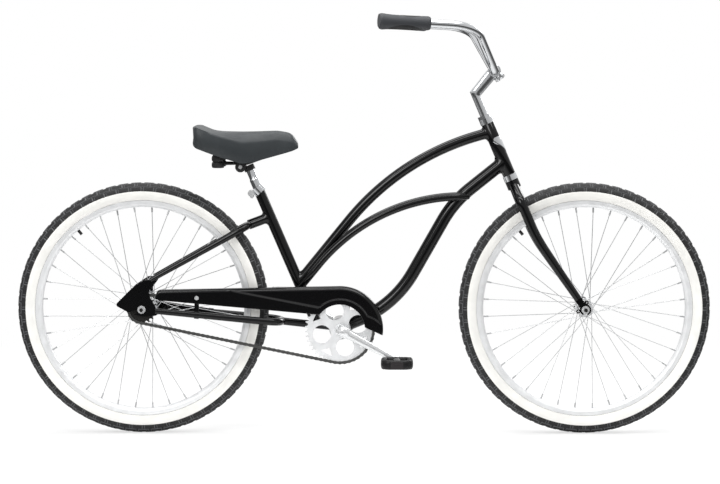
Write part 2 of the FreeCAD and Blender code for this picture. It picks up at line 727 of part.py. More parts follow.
def cup_set(base, way):
    """Pressed cup, bearing ring and running cone at one end of the head tube."""
    lip = CUP_RADIUS - CUP_LIP
    skirt = CUP_BORE_RADIUS - CUP_SKIRT_WALL
    nose = (CUP_FLOOR + CUP_HEIGHT) / 2 + CUP_LIP
    cup = ((skirt, -CUP_SKIRT), (CUP_BORE_RADIUS, -CUP_SKIRT), (CUP_BORE_RADIUS, 0), (CUP_RADIUS, 0),
           (CUP_RADIUS, CUP_HEIGHT), (lip, CUP_HEIGHT), (lip, CUP_FLOOR), (skirt, CUP_FLOOR))
    bearing = ((skirt, CUP_FLOOR), (lip - CLEAR, CUP_FLOOR), (lip - CLEAR, nose - CLEAR), (skirt, nose - CLEAR))
    bore = STEERER_RADIUS + SLIP
    runner = ((bore, nose), (lip - CLEAR, nose), (lip - CLEAR, CUP_HEIGHT + CLEAR),
              (CUP_RADIUS, CUP_HEIGHT + CLEAR), (CUP_RADIUS, CUP_STACK), (bore, CUP_STACK))
    shapes = []
    for profile in (cup, bearing, runner):
        moved = [(r, base + way * along) for r, along in profile]
        shapes.append(steered(turned(moved, ORIGIN, Z_AXIS)))
    return shapes


def headset():
    upper = cup_set(HEAD_HIGH, 1)
    lower = cup_set(HEAD_LOW, -1)
    corners = [vec(HEAD_NUT_RADIUS, 0, 0)]
    for i in range(1, 8):
        turn = 2 * math.pi * i / 8
        corners.append(vec(HEAD_NUT_RADIUS * math.cos(turn), HEAD_NUT_RADIUS * math.sin(turn), 0))
    nut = Part.Face(Part.makePolygon(corners + corners[:1])).extrude(Z_AXIS * HEAD_NUT_HEIGHT)
    nut = nut.cut(Part.makeCylinder(STEERER_RADIUS + SLIP, HEAD_NUT_HEIGHT))
    nut = steered(nut.translated(Z_AXIS * (HEAD_HIGH + CUP_STACK)))
    return {
        "headset_cups": Part.makeCompound([upper[0], lower[0]]),
        "headset_bearings": Part.makeCompound([upper[1], lower[1]]),
        "headset_cone": upper[2],
        "crown_race": lower[2],
        "headset_locknut": nut,
    }


def head_badge():
    """Thin bare shield wrapped round the front of the head tube."""
    middle = HEAD_LOW + HEAD_LENGTH * BADGE_PLACE_SHARE
    skin = Part.makeCylinder(HEAD_TUBE_RADIUS + SLIP + BADGE_THICKNESS, BADGE_HEIGHT)
    skin = skin.cut(Part.makeCylinder(HEAD_TUBE_RADIUS + SLIP, BADGE_HEIGHT))
    front = HEAD_TUBE_RADIUS + BADGE_WIDTH
    back = HEAD_TUBE_RADIUS - BADGE_WIDTH * BADGE_WRAP_SHARE
    side = (vec(back, 0, BADGE_HEIGHT), vec(front, 0, BADGE_HEIGHT), vec(front, 0, 0),
            vec(HEAD_TUBE_RADIUS * BADGE_TIP_SHARE, 0, 0), vec(back, 0, BADGE_HEIGHT * BADGE_POINT_SHARE))
    low = -HEAD_TUBE_RADIUS - OVERRUN
    shield = skin.common(plate(side, (0, 0, 0, 0, 0), low, -low))
    return {"head_badge": steered(shield.translated(Z_AXIS * (middle - BADGE_HEIGHT / 2)))}


def fork_end():
    """Right fork end: a plate round the axle with a slot that opens downward."""
    low = -FRONT_SPACING / 2 - FORK_END_THICKNESS
    high = -FRONT_SPACING / 2
    up = (on_steer(BLADE_BEND_HEIGHT) - FRONT_HUB).normalize()
    across = vec(up.z, 0, -up.x) * (BLADE_END_RADIUS - TUBE_WALL / 2)
    far = FRONT_HUB + up * (BLADE_END_GAP + BLADE_END_RADIUS)
    neck = plate([FRONT_HUB + across, far + across, far - across, FRONT_HUB - across], (0, 0, 0, 0), low, high)
    disc = Part.makeCylinder(FORK_END_RADIUS, FORK_END_THICKNESS, FRONT_HUB + Y_AXIS * low, Y_AXIS)
    eye = Part.makeCylinder(SLOT_WIDTH / 2, FORK_END_THICKNESS, FRONT_HUB + Y_AXIS * low, Y_AXIS)
    half = X_AXIS * (SLOT_WIDTH / 2)
    deep = FRONT_HUB - Z_AXIS * (FORK_END_RADIUS + OVERRUN)
    slot = plate([FRONT_HUB - half, FRONT_HUB + half, deep + half, deep - half], (0, 0, 0, 0), low, high)
    body = disc.fuse(neck).cut([eye, slot])
    eyelets = []
    for x, z in ((EYELET_HIGH_X, EYELET_HIGH_Z), (EYELET_LOW_X, EYELET_LOW_Z)):
        base = FRONT_HUB + vec(x, low, z)
        outer = Part.makeCylinder(EYELET_RADIUS, FORK_END_THICKNESS, base, Y_AXIS)
        body = body.cut(outer)
        eyelets.append(outer.cut(Part.makeCylinder(EYELET_BORE_RADIUS, FORK_END_THICKNESS, base, Y_AXIS)))
    return main_solid(body.removeSplitter()), eyelets


def fork_blade():
    """Right blade: shoulder, straight, raked bend and a taper to the fork end, as (tube, filled)."""
    side = RIGHT * BLADE_SPREAD
    start = on_steer(CROWN_MIDDLE)
    shoulder = on_steer(CROWN_MIDDLE - BLADE_DROP, 0, side)
    bend = on_steer(BLADE_BEND_HEIGHT, 0, side)
    hub = FRONT_HUB + Y_AXIS * side
    taper = blend(bend, hub, 1 / 4)
    end = hub + (bend - hub).normalize() * BLADE_END_GAP
    shapes = []
    for thinner in (0, TUBE_WALL):
        upper = bar([start, shoulder, bend, taper], (BLADE_SHOULDER_RADIUS, BLADE_BEND_RADIUS), BLADE_RADIUS - thinner)
        lower = cone(taper, end, BLADE_RADIUS - thinner, BLADE_END_RADIUS - thinner)
        shapes.append(upper.fuse(lower))
    return shapes[0].cut(shapes[1]), shapes[0]


def fork():
    crown_low = CROWN_TOP - CROWN_HEIGHT
    steerer, steerer_full = straight_pipe(on_steer(crown_low), on_steer(STEER_TOP), STEERER_RADIUS,
                                          STEERER_RADIUS - STEERER_BORE_RADIUS)
    crown_full = straight(on_steer(crown_low), on_steer(CROWN_TOP), CROWN_RADIUS)
    end, eyelets = fork_end()
    blade = main_solid(fork_blade()[0].cut([crown_full, end, *eyelets]))
    return {
        "fork_steerer": steerer,
        "fork_crown": crown_full.cut(steerer_full),
        "fork_blades": both_sides(blade),
        "fork_ends": both_sides(end),
        "fork_eyelets": Part.makeCompound([*eyelets, *[mirrored(eyelet) for eyelet in eyelets]]),
    }


def stem():
    """Quill stem with a split bar clamp, and its pinch bolt."""
    knee = on_steer(STEM_KNEE)
    body = bar([on_steer(STEER_TOP - QUILL_DEPTH), knee, CLAMP_CENTRE], (STEM_BEND_RADIUS,), QUILL_RADIUS)
    low = CLAMP_CENTRE - Y_AXIS * (CLAMP_WIDTH / 2)
    body = body.fuse(Part.makeCylinder(CLAMP_RADIUS, CLAMP_WIDTH, low, Y_AXIS))
    out = polar(1, CLAMP_EAR_DEG)
    aside = polar(1, CLAMP_EAR_DEG + 90)
    reach = CLAMP_CENTRE + out * (CLAMP_RADIUS + CLAMP_EAR)
    ear_half = aside * (CLAMP_EAR_THICKNESS / 2)
    ear_low = -CLAMP_EAR_WIDTH / 2
    corners = [CLAMP_CENTRE + ear_half, reach + ear_half, reach - ear_half, CLAMP_CENTRE - ear_half]
    rounds = (0, CLAMP_EAR_ROUND, CLAMP_EAR_ROUND, 0)
    body = body.fuse(plate(corners, rounds, ear_low, -ear_low))
    slit = aside * (CLAMP_SLIT / 2)
    deep = reach + out * OVERRUN
    corners = [CLAMP_CENTRE + slit, deep + slit, deep - slit, CLAMP_CENTRE - slit]
    width = CLAMP_WIDTH / 2 + OVERRUN
    bolt_at = CLAMP_CENTRE + out * (CLAMP_RADIUS + CLAMP_EAR / 2)
    bolt_low = bolt_at - ear_half
    hole = straight(bolt_low - ear_half, bolt_at + ear_half * 2, CLAMP_BOLT_RADIUS + SLIP)
    bore = Part.makeCylinder(BAR_CENTRE_RADIUS + SLIP, 2 * width, CLAMP_CENTRE - Y_AXIS * width, Y_AXIS)
    body = body.cut([bore, plate(corners, (0, 0, 0, 0), -width, width), hole])
    shank = straight(bolt_low - aside * BOLT_HEAD_HEIGHT, bolt_at + ear_half, CLAMP_BOLT_RADIUS)
    head = straight(bolt_at + ear_half, bolt_at + ear_half + aside * BOLT_HEAD_HEIGHT, BOLT_HEAD_RADIUS)
    nut = straight(bolt_low - aside * BOLT_HEAD_HEIGHT, bolt_low, BOLT_HEAD_RADIUS)
    return {"stem": body, "stem_bolt": shank.fuse([head, nut]).removeSplitter()}


def handlebar():
    """Swept-back bar and its two grips."""
    right = [CLAMP_CENTRE + vec(0, RIGHT * BAR_CENTRE, 0),
             CLAMP_CENTRE + vec(BAR_RISE_X, RIGHT * BAR_RISE_Y, BAR_RISE_Z),
             CLAMP_CENTRE + vec(BAR_SWEEP_X, RIGHT * BAR_SWEEP_Y, BAR_SWEEP_Z)]
    left = [vec(p.x, -p.y, p.z) for p in right]
    route = [left[2], left[1], left[0], *right]
    radii = (BAR_HIGH_RADIUS, BAR_LOW_RADIUS, BAR_LOW_RADIUS, BAR_HIGH_RADIUS)
    sleeve_half = CLAMP_WIDTH / 2 + OVERRUN
    sleeve = Part.makeCylinder(BAR_CENTRE_RADIUS, 2 * sleeve_half, CLAMP_CENTRE - Y_AXIS * sleeve_half, Y_AXIS)
    body = bar(route, radii, BAR_RADIUS).fuse(sleeve).cut(bar(route, radii, BAR_RADIUS - BAR_WALL))
    inward = (right[1] - right[2]).normalize()
    spread = GRIP_END_RADIUS - GRIP_MID_RADIUS
    outer = []
    for share, along in zip(GRIP_RADIUS_SHARES, GRIP_ALONG_SHARES):
        outer.append((GRIP_MID_RADIUS + spread * share, GRIP_LENGTH * along - GRIP_WALL))
    bore = BAR_RADIUS + SLIP
    profile = [(0, -GRIP_WALL), *outer, (bore, GRIP_LENGTH - GRIP_WALL), (bore, -SLIP), (0, -SLIP)]
    grip = aimed(turned(profile, ORIGIN, Z_AXIS), right[2], inward)
    return {"handlebar": body, "grips": both_sides(grip)}


def rim(hub):
    """Single-wall rim with bead shelves and a valve hole."""
    top = FLANGE_TOP
    shoulder = RIM_BEAD_RADIUS - RIM_DEPTH / 3
    floor = RIM_INNER_RADIUS + RIM_WALL
    shelf = RIM_HALF_WIDTH - RIM_WALL - BEAD_WIDTH - CLEAR
    well = RIM_FLOOR_HALF - RIM_WALL
    half = ((top, RIM_HALF_WIDTH), (shoulder, RIM_HALF_WIDTH), (RIM_INNER_RADIUS, RIM_FLOOR_HALF))
    inside = ((floor, well), (RIM_BEAD_RADIUS, shelf), (RIM_BEAD_RADIUS, RIM_HALF_WIDTH - RIM_WALL),
              (top, RIM_HALF_WIDTH - RIM_WALL))
    outer = [*half, *[(r, -y) for r, y in reversed(half)]]
    inner = [*[(r, -y) for r, y in reversed(inside)], *inside]
    hole = straight(ORIGIN, polar(TYRE_RADIUS - TREAD_THICKNESS, VALVE_TURN_DEG), VALVE_RADIUS + CLEAR)
    return turned(outer + inner).cut(hole).translated(hub)


def tyre_sections():
    """Faces of half the tyre's black casing and of its white sidewall, on the +Y side."""
    foot = FLANGE_TOP + CLEAR
    wide = FLANGE_TOP + (TYRE_RADIUS - FLANGE_TOP) * TYRE_WIDE_SHARE
    bead = RIM_BEAD_RADIUS + SLIP
    bead_out = RIM_HALF_WIDTH - RIM_WALL - SLIP
    bead_in = bead_out - BEAD_WIDTH
    arc_share = math.sqrt(HALF_SHARE)

    def bulge(low, high, y_low, y_high, share):
        return vec(low + (high - low) * TYRE_SIDE_UP_SHARE, y_low + (y_high - y_low) * share, 0)

    def crown(thickness, half_width):
        return vec(wide + (TYRE_RADIUS - thickness - wide) * arc_share, half_width * arc_share, 0)

    under = TYRE_HALF_WIDTH - WHITE_THICKNESS
    foot_under = RIM_HALF_WIDTH - WHITE_THICKNESS
    inside = TYRE_HALF_WIDTH - TYRE_WALL
    casing = edge_face([
        (vec(bead, bead_in, 0), None),
        (vec(bead, bead_out, 0), None),
        (vec(foot, bead_out, 0), None),
        (vec(foot, foot_under, 0), bulge(foot, wide, foot_under, under, TYRE_SIDE_SHARE)),
        (vec(wide, under, 0), None),
        (vec(wide, TYRE_HALF_WIDTH, 0), crown(0, TYRE_HALF_WIDTH)),
        (vec(TYRE_RADIUS, 0, 0), None),
        (vec(TYRE_RADIUS - TREAD_THICKNESS, 0, 0), crown(TREAD_THICKNESS, inside)),
        (vec(wide, inside, 0), bulge(bead, wide, bead_in, inside, TYRE_INSIDE_SHARE)),
    ])
    white = edge_face([
        (vec(foot, foot_under, 0), None),
        (vec(foot, RIM_HALF_WIDTH, 0), bulge(foot, wide, RIM_HALF_WIDTH, TYRE_HALF_WIDTH, TYRE_SIDE_SHARE)),
        (vec(wide, TYRE_HALF_WIDTH, 0), None),
        (vec(wide, under, 0), bulge(foot, wide, foot_under, under, TYRE_SIDE_SHARE)),
    ])
    return casing, white


def tyre(hub):
    """Tyre and its two white sidewalls."""
    casing, white = tyre_sections()
    half = casing.revolve(ORIGIN, Y_AXIS, FULL_TURN_DEG)
    wall = white.revolve(ORIGIN, Y_AXIS, FULL_TURN_DEG)
    body = half.fuse(mirrored(half)).removeSplitter()
    return body.translated(hub), both_sides(wall).translated(hub)


def inner_tube(hub):
    """Air tube of a few flat sides, with its valve stem through the rim."""
    centre = TYRE_RADIUS - TREAD_THICKNESS - TUBE_GAP - TUBE_RADIUS
    sections = []
    for radius in (TUBE_RADIUS, TUBE_RADIUS - TUBE_RUBBER):
        profile = []
        for i in range(TUBE_SIDES):
            turn = 2 * math.pi * (i + HALF_SHARE) / TUBE_SIDES
            profile.append((centre + radius * math.cos(turn), radius * math.sin(turn)))
        sections.append(turned(profile))
    inner_side = centre - TUBE_RADIUS * math.cos(math.pi / TUBE_SIDES)
    stem_start = polar(inner_side + TUBE_RUBBER / 2, VALVE_TURN_DEG)
    stem_end = polar(inner_side - VALVE_LENGTH, VALVE_TURN_DEG)
    body = sections[0].cut(sections[1]).fuse(straight(stem_start, stem_end, VALVE_RADIUS))
    return body.translated(hub)


def spoke(side, way, flange_radius, flange_place):
    """One spoke with its nipple: on one side, leaning one way and on one face of its flange.

    A spoke outside its flange leans in to the rim, so it stands off by what it loses at the edge.
    """
    hole_radius = flange_radius - FLANGE_EDGE
    lift = FLANGE_THICKNESS / 2 + SPOKE_RADIUS + SLIP
    nipple_end = polar(RIM_INNER_RADIUS - NIPPLE_RADIUS / 4, 0, side * SPOKE_RIM_OFFSET)
    hole = polar(hole_radius, way * SPOKE_CROSS_DEG)
    flat = vec(nipple_end.x, 0, nipple_end.z) - hole
    turn = flat.getAngle(hole)
    aside = hole_radius * math.sin(turn)
    past_edge = math.sqrt((flange_radius + SPOKE_RADIUS)**2 - aside**2) - hole_radius * math.cos(turn)
    if way > 0:
        lift += past_edge * (flange_place + lift - SPOKE_RIM_OFFSET) / flat.Length
    start = hole + Y_AXIS * (side * (flange_place + way * lift))
    run = nipple_end - start
    heading = vec(run.x, run.y, run.z).normalize()
    wire = prism(start, heading, SPOKE_RADIUS, run.Length - NIPPLE_LENGTH, 5)
    nipple = prism(nipple_end - heading * NIPPLE_LENGTH, heading, NIPPLE_RADIUS, NIPPLE_LENGTH, 6)
    return wire.fuse(nipple)


def spokes(hub, flange_radius, flange_place):
    """Crossed spokes on both flanges."""
    step = FULL_TURN_DEG / SPOKES_PER_SIDE
    shapes = []
    for side in (RIGHT, LEFT):
        for way in (1, -1):
            pattern = spoke(side, way, flange_radius, flange_place)
            first = step / 4 * side + (step / 2) * way
            for i in range(SPOKES_PER_SIDE // 2):
                shapes.append(placed(pattern, hub, Y_AXIS, first + 2 * step * i))
    return Part.makeCompound(shapes)


def hub_shell(hub, radius, flange_radius, flange_place, end):
    """Hub shell with two spoke flanges, a bore and a bearing seat at each end."""
    inner = flange_place - FLANGE_THICKNESS / 2
    outer = flange_place + FLANGE_THICKNESS / 2
    seat = end - BEARING_WIDTH - CLEAR
    collar = BEARING_RADIUS + FLANGE_THICKNESS
    waist = min(radius, inner) / 2
    foot = flange_radius - FLANGE_EDGE - SPOKE_RADIUS - CLEAR
    half = ((HUB_BORE_RADIUS, seat), (BEARING_RADIUS, seat), (BEARING_RADIUS, end), (collar, end),
            (collar, outer), (flange_radius, outer), (flange_radius, inner), (foot, inner),
            (radius, inner - waist / 2))
    profile = [*half, *[(r, -y) for r, y in reversed(half)]]
    return turned(profile).translated(hub)


def hub_bearings(hub, end):
    low = end - BEARING_WIDTH
    one = ring(HUB_CONE_RADIUS + CLEAR, BEARING_RADIUS - SLIP, low, end)
    return both_sides(one).translated(hub)


def hub_cones(hub, end, spacing):
    """Cone and lock nut on the axle at each side of a hub."""
    bore = AXLE_RADIUS + SLIP
    low = end - BEARING_WIDTH
    face = end + CLEAR
    profile = ((bore, low), (HUB_CONE_RADIUS, low), (HUB_CONE_RADIUS, face), (LOCKNUT_RADIUS, face),
               (LOCKNUT_RADIUS, spacing / 2), (bore, spacing / 2))
    return both_sides(turned(profile)).translated(hub)


def axle(hub, spacing, thickness):
    """Axle with a relief groove outside each nut and a plain end beyond the groove."""
    half = spacing / 2 + thickness + AXLE_STICKOUT
    groove = spacing / 2 + thickness + WASHER_THICKNESS + NUT_HEIGHT + CLEAR
    plain = groove + AXLE_GROOVE_WIDTH
    low = AXLE_RADIUS - AXLE_GROOVE_STEP
    end = AXLE_RADIUS - AXLE_END_STEP
    side = ((AXLE_RADIUS, groove), (low, groove), (low, plain), (end, plain), (end, half), (0, half))
    return turned([*[(r, -y) for r, y in reversed(side)], *side]).translated(hub)


def axle_nuts(hub, spacing, thickness):
    """Washer and nut outside each plate, as one flanged nut a side."""
    face = spacing / 2 + thickness
    flange = ring(AXLE_RADIUS + SLIP, WASHER_RADIUS, face, face + WASHER_THICKNESS)
    top = face + WASHER_THICKNESS + NUT_HEIGHT
    body = hexagon(NUT_RADIUS, face + WASHER_THICKNESS, top).cut(ring(0, AXLE_RADIUS + SLIP, face, top))
    return both_sides(flange.fuse(body)).translated(hub)


def wheels():
    nodes = {}
    front = (FRONT_HUB, FRONT_HUB_RADIUS, FRONT_FLANGE_RADIUS, FRONT_FLANGE_PLACE, FRONT_HUB_END)
    rear = (REAR_HUB, REAR_HUB_RADIUS, REAR_FLANGE_RADIUS, REAR_FLANGE_PLACE, REAR_HUB_END)
    for name, (hub, radius, flange, place, end) in (("front", front), ("rear", rear)):
        nodes[name + "_tyre"], nodes[name + "_whitewalls"] = tyre(hub)
        nodes[name + "_inner_tube"] = inner_tube(hub)
        nodes[name + "_rim"] = rim(hub)
        nodes[name + "_spokes"] = spokes(hub, flange, place)
        nodes[name + "_hub"] = hub_shell(hub, radius, flange, place, end)
        nodes[name + "_hub_bearings"] = hub_bearings(hub, end)
    nodes["front_cones"] = hub_cones(FRONT_HUB, FRONT_HUB_END, FRONT_SPACING)
    nodes["front_axle"] = axle(FRONT_HUB, FRONT_SPACING, FORK_END_THICKNESS)
    nodes["front_axle_nuts"] = axle_nuts(FRONT_HUB, FRONT_SPACING, FORK_END_THICKNESS)
    nodes["rear_cones"] = hub_cones(REAR_HUB, REAR_HUB_END, REAR_SPACING)
    nodes["rear_axle"] = axle(REAR_HUB, REAR_SPACING, DROPOUT_THICKNESS)
    nodes["rear_axle_nuts"] = axle_nuts(REAR_HUB, REAR_SPACING, DROPOUT_THICKNESS)
    return nodes


def chain_pins():
    """Pin places round the chain, with the index of a pin on the ring and one on the sprocket.

    The loop is measured in links: top run, round the sprocket, bottom run, round the ring.
    """
    lean = chain_lean(AXLE_DISTANCE)
    line_deg = math.degrees(math.atan2(AXLE_RISE, CRANK_AXLE.x - REAR_HUB.x))
    lean_deg = math.degrees(lean)
    run = AXLE_DISTANCE * math.cos(lean) / CHAIN_PITCH
    on_sprocket = SPROCKET_TEETH * (180 - 2 * lean_deg) / FULL_TURN_DEG
    top_deg = 90 - line_deg + lean_deg
    low_deg = 270 - line_deg - lean_deg
    ring_top = CRANK_AXLE + polar(RING_PITCH_RADIUS, top_deg)
    ring_low = CRANK_AXLE + polar(RING_PITCH_RADIUS, low_deg)
    sprocket_top = REAR_HUB + polar(SPROCKET_PITCH_RADIUS, top_deg)
    sprocket_low = REAR_HUB + polar(SPROCKET_PITCH_RADIUS, low_deg)
    pins = []
    for i in range(LINK_COUNT):
        left = i
        if left < run:
            pins.append(blend(ring_top, sprocket_top, left / run))
            continue
        left -= run
        if left < on_sprocket:
            angle = top_deg + FULL_TURN_DEG * left / SPROCKET_TEETH
            pins.append(REAR_HUB + polar(SPROCKET_PITCH_RADIUS, angle))
            continue
        left -= on_sprocket
        if left < run:
            pins.append(blend(sprocket_low, ring_low, left / run))
            continue
        left -= run
        pins.append(CRANK_AXLE + polar(RING_PITCH_RADIUS, low_deg + FULL_TURN_DEG * left / RING_TEETH))
    ring_deg = low_deg - FULL_TURN_DEG * (2 * run + on_sprocket) / RING_TEETH
    sprocket_deg = top_deg - FULL_TURN_DEG * run / SPROCKET_TEETH
    return pins, ring_deg, sprocket_deg


def link_plate(low, high):
    """Waisted side plate of a link that lies along +X from the origin."""
    half = PLATE_HEIGHT / 2
    waist = PLATE_WAIST / 2
    nose = half * HALF_SHARE
    middle = CHAIN_PITCH / 2
    upper = [vec(-half, 0, nose), vec(-nose, 0, half), vec(middle, 0, waist), vec(CHAIN_PITCH + nose, 0, half),
             vec(CHAIN_PITCH + half, 0, nose)]
    lower = [vec(p.x, 0, -p.z) for p in reversed(upper)]
    points = upper + lower
    return plate(points, [0] * len(points), low, high)


def at_pins(make):
    """A shape at each end of a link, fused."""
    shape = make()
    return shape.fuse(shape.translated(X_AXIS * CHAIN_PITCH))


def inner_link():
    """Two inner plates on two bushed rollers, bored for the pins."""
    inside = LINK_INNER_WIDTH / 2
    outside = inside + PLATE_THICKNESS
    rollers = at_pins(lambda: hexagon(ROLLER_RADIUS, -inside, inside))
    bores = at_pins(lambda: hexagon(PIN_RADIUS + CLEAR / 2, -outside, outside))
    return rollers.fuse([link_plate(inside, outside), link_plate(-outside, -inside)]).cut(bores)


def outer_link():
    """Two outer plates riveted on two pins."""
    inside = LINK_INNER_WIDTH / 2 + PLATE_THICKNESS + CLEAR / 2
    outside = inside + PLATE_THICKNESS
    end = outside + PIN_STICKOUT
    pins = at_pins(lambda: hexagon(PIN_RADIUS, -end, end))
    return pins.fuse([link_plate(inside, outside), link_plate(-outside, -inside)])


def chain():
    """Roller chain in its plane, inner and outer links by turns."""
    pins, _, _ = chain_pins()
    patterns = (inner_link(), outer_link())
    shapes = []
    for i, pin in enumerate(pins):
        run = pins[(i + 1) % LINK_COUNT] - pin
        turn_deg = -math.degrees(math.atan2(run.z, run.x))
        shapes.append(placed(patterns[i % 2], pin - Y_AXIS * CHAIN_LINE, Y_AXIS, turn_deg))
    return Part.makeCompound(shapes)


def toothed_disc(teeth, pitch_radius, first_deg):
    """Disc whose tooth gaps take the chain's rollers, about the Y axis."""
    seat = ROLLER_RADIUS + CLEAR / 2
    tip = pitch_radius + TOOTH_HEIGHT
    step = FULL_TURN_DEG / teeth
    tip_half_deg = math.degrees(TOOTH_TIP / 2 / tip)
    low = -RING_THICKNESS / 2
    stops = []
    for i in range(teeth):
        gap_deg = first_deg + step * i
        roller = polar(pitch_radius, gap_deg, low)
        stops.append((roller + polar(seat, gap_deg + 180 + TOOTH_SEAT_DEG), roller + polar(seat, gap_deg + 180)))
        stops.append((roller + polar(seat, gap_deg + 180 - TOOTH_SEAT_DEG), None))
        stops.append((polar(tip, gap_deg + step / 2 - tip_half_deg, low), None))
        stops.append((polar(tip, gap_deg + step / 2 + tip_half_deg, low), None))
    return edge_face(stops).extrude(Y_AXIS * RING_THICKNESS)


def chainring():
    """Ring with four round holes, four small windows and a hole for the crank's drive pin."""
    _, ring_deg, _ = chain_pins()
    low = -RING_THICKNESS / 2
    body = toothed_disc(RING_TEETH, RING_PITCH_RADIUS, ring_deg)
    cuts = [Part.makeCylinder(SPINDLE_RADIUS + SLIP, RING_THICKNESS, Y_AXIS * low, Y_AXIS)]
    pin = polar(DRIVE_PIN_PLACE, -CRANK_TURN_DEG, low)
    cuts.append(Part.makeCylinder(DRIVE_PIN_RADIUS + SLIP, RING_THICKNESS, pin, Y_AXIS))
    for i in range(RING_HOLES):
        turn = RING_HOLE_TURN_DEG + FULL_TURN_DEG * i / RING_HOLES
        centre = polar(RING_HOLE_PLACE, turn, low)
        cuts.append(Part.makeCylinder(RING_HOLE_RADIUS, RING_THICKNESS, centre, Y_AXIS))
        turn += FULL_TURN_DEG / RING_HOLES / 2
        root = polar(RING_WINDOW_INNER, turn, low)
        first = polar(RING_WINDOW_OUTER, turn - RING_WINDOW_HALF_DEG, low)
        last = polar(RING_WINDOW_OUTER, turn + RING_WINDOW_HALF_DEG, low)
        window = edge_face([(root, None), (first, polar(RING_WINDOW_OUTER, turn, low)), (last, None)])
        cuts.append(window.extrude(Y_AXIS * RING_THICKNESS))
    return body.cut(cuts).translated(CRANK_AXLE - Y_AXIS * CHAIN_LINE)


def rear_sprocket():
    """Sprocket on the hub's driver."""
    _, _, sprocket_deg = chain_pins()
    low = -RING_THICKNESS / 2
    body = toothed_disc(SPROCKET_TEETH, SPROCKET_PITCH_RADIUS, sprocket_deg)
    body = body.cut(Part.makeCylinder(DRIVER_RADIUS + SLIP, RING_THICKNESS, Y_AXIS * low, Y_AXIS))
    inner = CHAIN_LINE - RING_THICKNESS / 2
    outer = CHAIN_LINE + RING_THICKNESS / 2
    bore = LOCKNUT_RADIUS + CLEAR
    start = -(REAR_HUB_END + CLEAR)
    profile = ((bore, start), (DRIVER_RADIUS + DRIVER_FLANGE, start), (DRIVER_RADIUS + DRIVER_FLANGE, -inner),
               (DRIVER_RADIUS, -inner), (DRIVER_RADIUS, -outer - DRIVER_FLANGE / 2),
               (bore, -outer - DRIVER_FLANGE / 2))
    return {
        "rear_sprocket": body.translated(REAR_HUB - Y_AXIS * CHAIN_LINE),
        "hub_driver": turned(profile).translated(REAR_HUB),
    }


def stay_clip(place_x, side):
    """Band round a chainstay at a place along X, as (band, centre of the stay, stay radius)."""
    corner, end = stay_leg()
    share = (place_x - corner.x) / (end.x - corner.x)
    centre = blend(corner, end, share)
    run = (end - corner).normalize()
    bend_end = (STAY_BEND_RADIUS + STAY_RADIUS) / (end - corner).Length
    taper_share = (share - bend_end) / (1 - bend_end)
    radius = STAY_RADIUS + (STAY_END_RADIUS - STAY_RADIUS) * taper_share
    back = centre - run * (CLIP_WIDTH / 2)
    band = Part.makeCylinder(radius + CLIP_WALL, CLIP_WIDTH, back, run)
    if side == LEFT:
        return mirrored(band), vec(centre.x, -centre.y, centre.z), radius
    return band, centre, radius


def coaster_arm():
    """Brake arm on the left of the rear hub, and the band that ties it to the chainstay."""
    low = BRAKE_ARM_PLACE
    high = low + BRAKE_ARM_THICKNESS
    place_x = REAR_HUB.x + BRAKE_ARM_LENGTH
    band, centre, radius = stay_clip(place_x, LEFT)
    tip = vec(centre.x, 0, centre.z)
    run = (tip - REAR_HUB).normalize()
    across = vec(-run.z, 0, run.x)
    root = across * BRAKE_ARM_WIDTH
    end = across * (BRAKE_ARM_WIDTH / 2)
    tip = tip + run * CLIP_WIDTH
    back = REAR_HUB - run * BRAKE_ARM_WIDTH
    points = [REAR_HUB + root, back, REAR_HUB - root, tip - end, tip + end]
    rounds = (BRAKE_ARM_WIDTH / 2, BRAKE_ARM_WIDTH, BRAKE_ARM_WIDTH / 2, end.Length / 2, end.Length / 2)
    bore = Part.makeCylinder(LOCKNUT_RADIUS + SLIP, BRAKE_ARM_THICKNESS, REAR_HUB + Y_AXIS * low, Y_AXIS)
    cap = ring(LOCKNUT_RADIUS + SLIP, BRAKE_CAP_RADIUS, REAR_HUB_END + CLEAR, low).translated(REAR_HUB)
    arm = plate(points, rounds, low, high).cut(bore).fuse(cap)
    half = CLIP_WIDTH / 2
    tab = Part.makeBox(CLIP_WIDTH, centre.y - high, CLIP_WIDTH, vec(centre.x - half, high, centre.z - half))
    clip = band.fuse(tab).cut(stay_loop()[1])
    return {"brake_arm": arm, "brake_arm_clip": main_solid(clip)}


def arm_section(x, centre_y, width):
    """Rounded rectangle across a crank arm."""
    half = width / 2
    deep = ARM_THICKNESS / 2
    points = [vec(x, centre_y - deep, -half), vec(x, centre_y + deep, -half),
              vec(x, centre_y + deep, half), vec(x, centre_y - deep, half)]
    return rounded_wire(points, [ARM_CORNER] * 4, True)


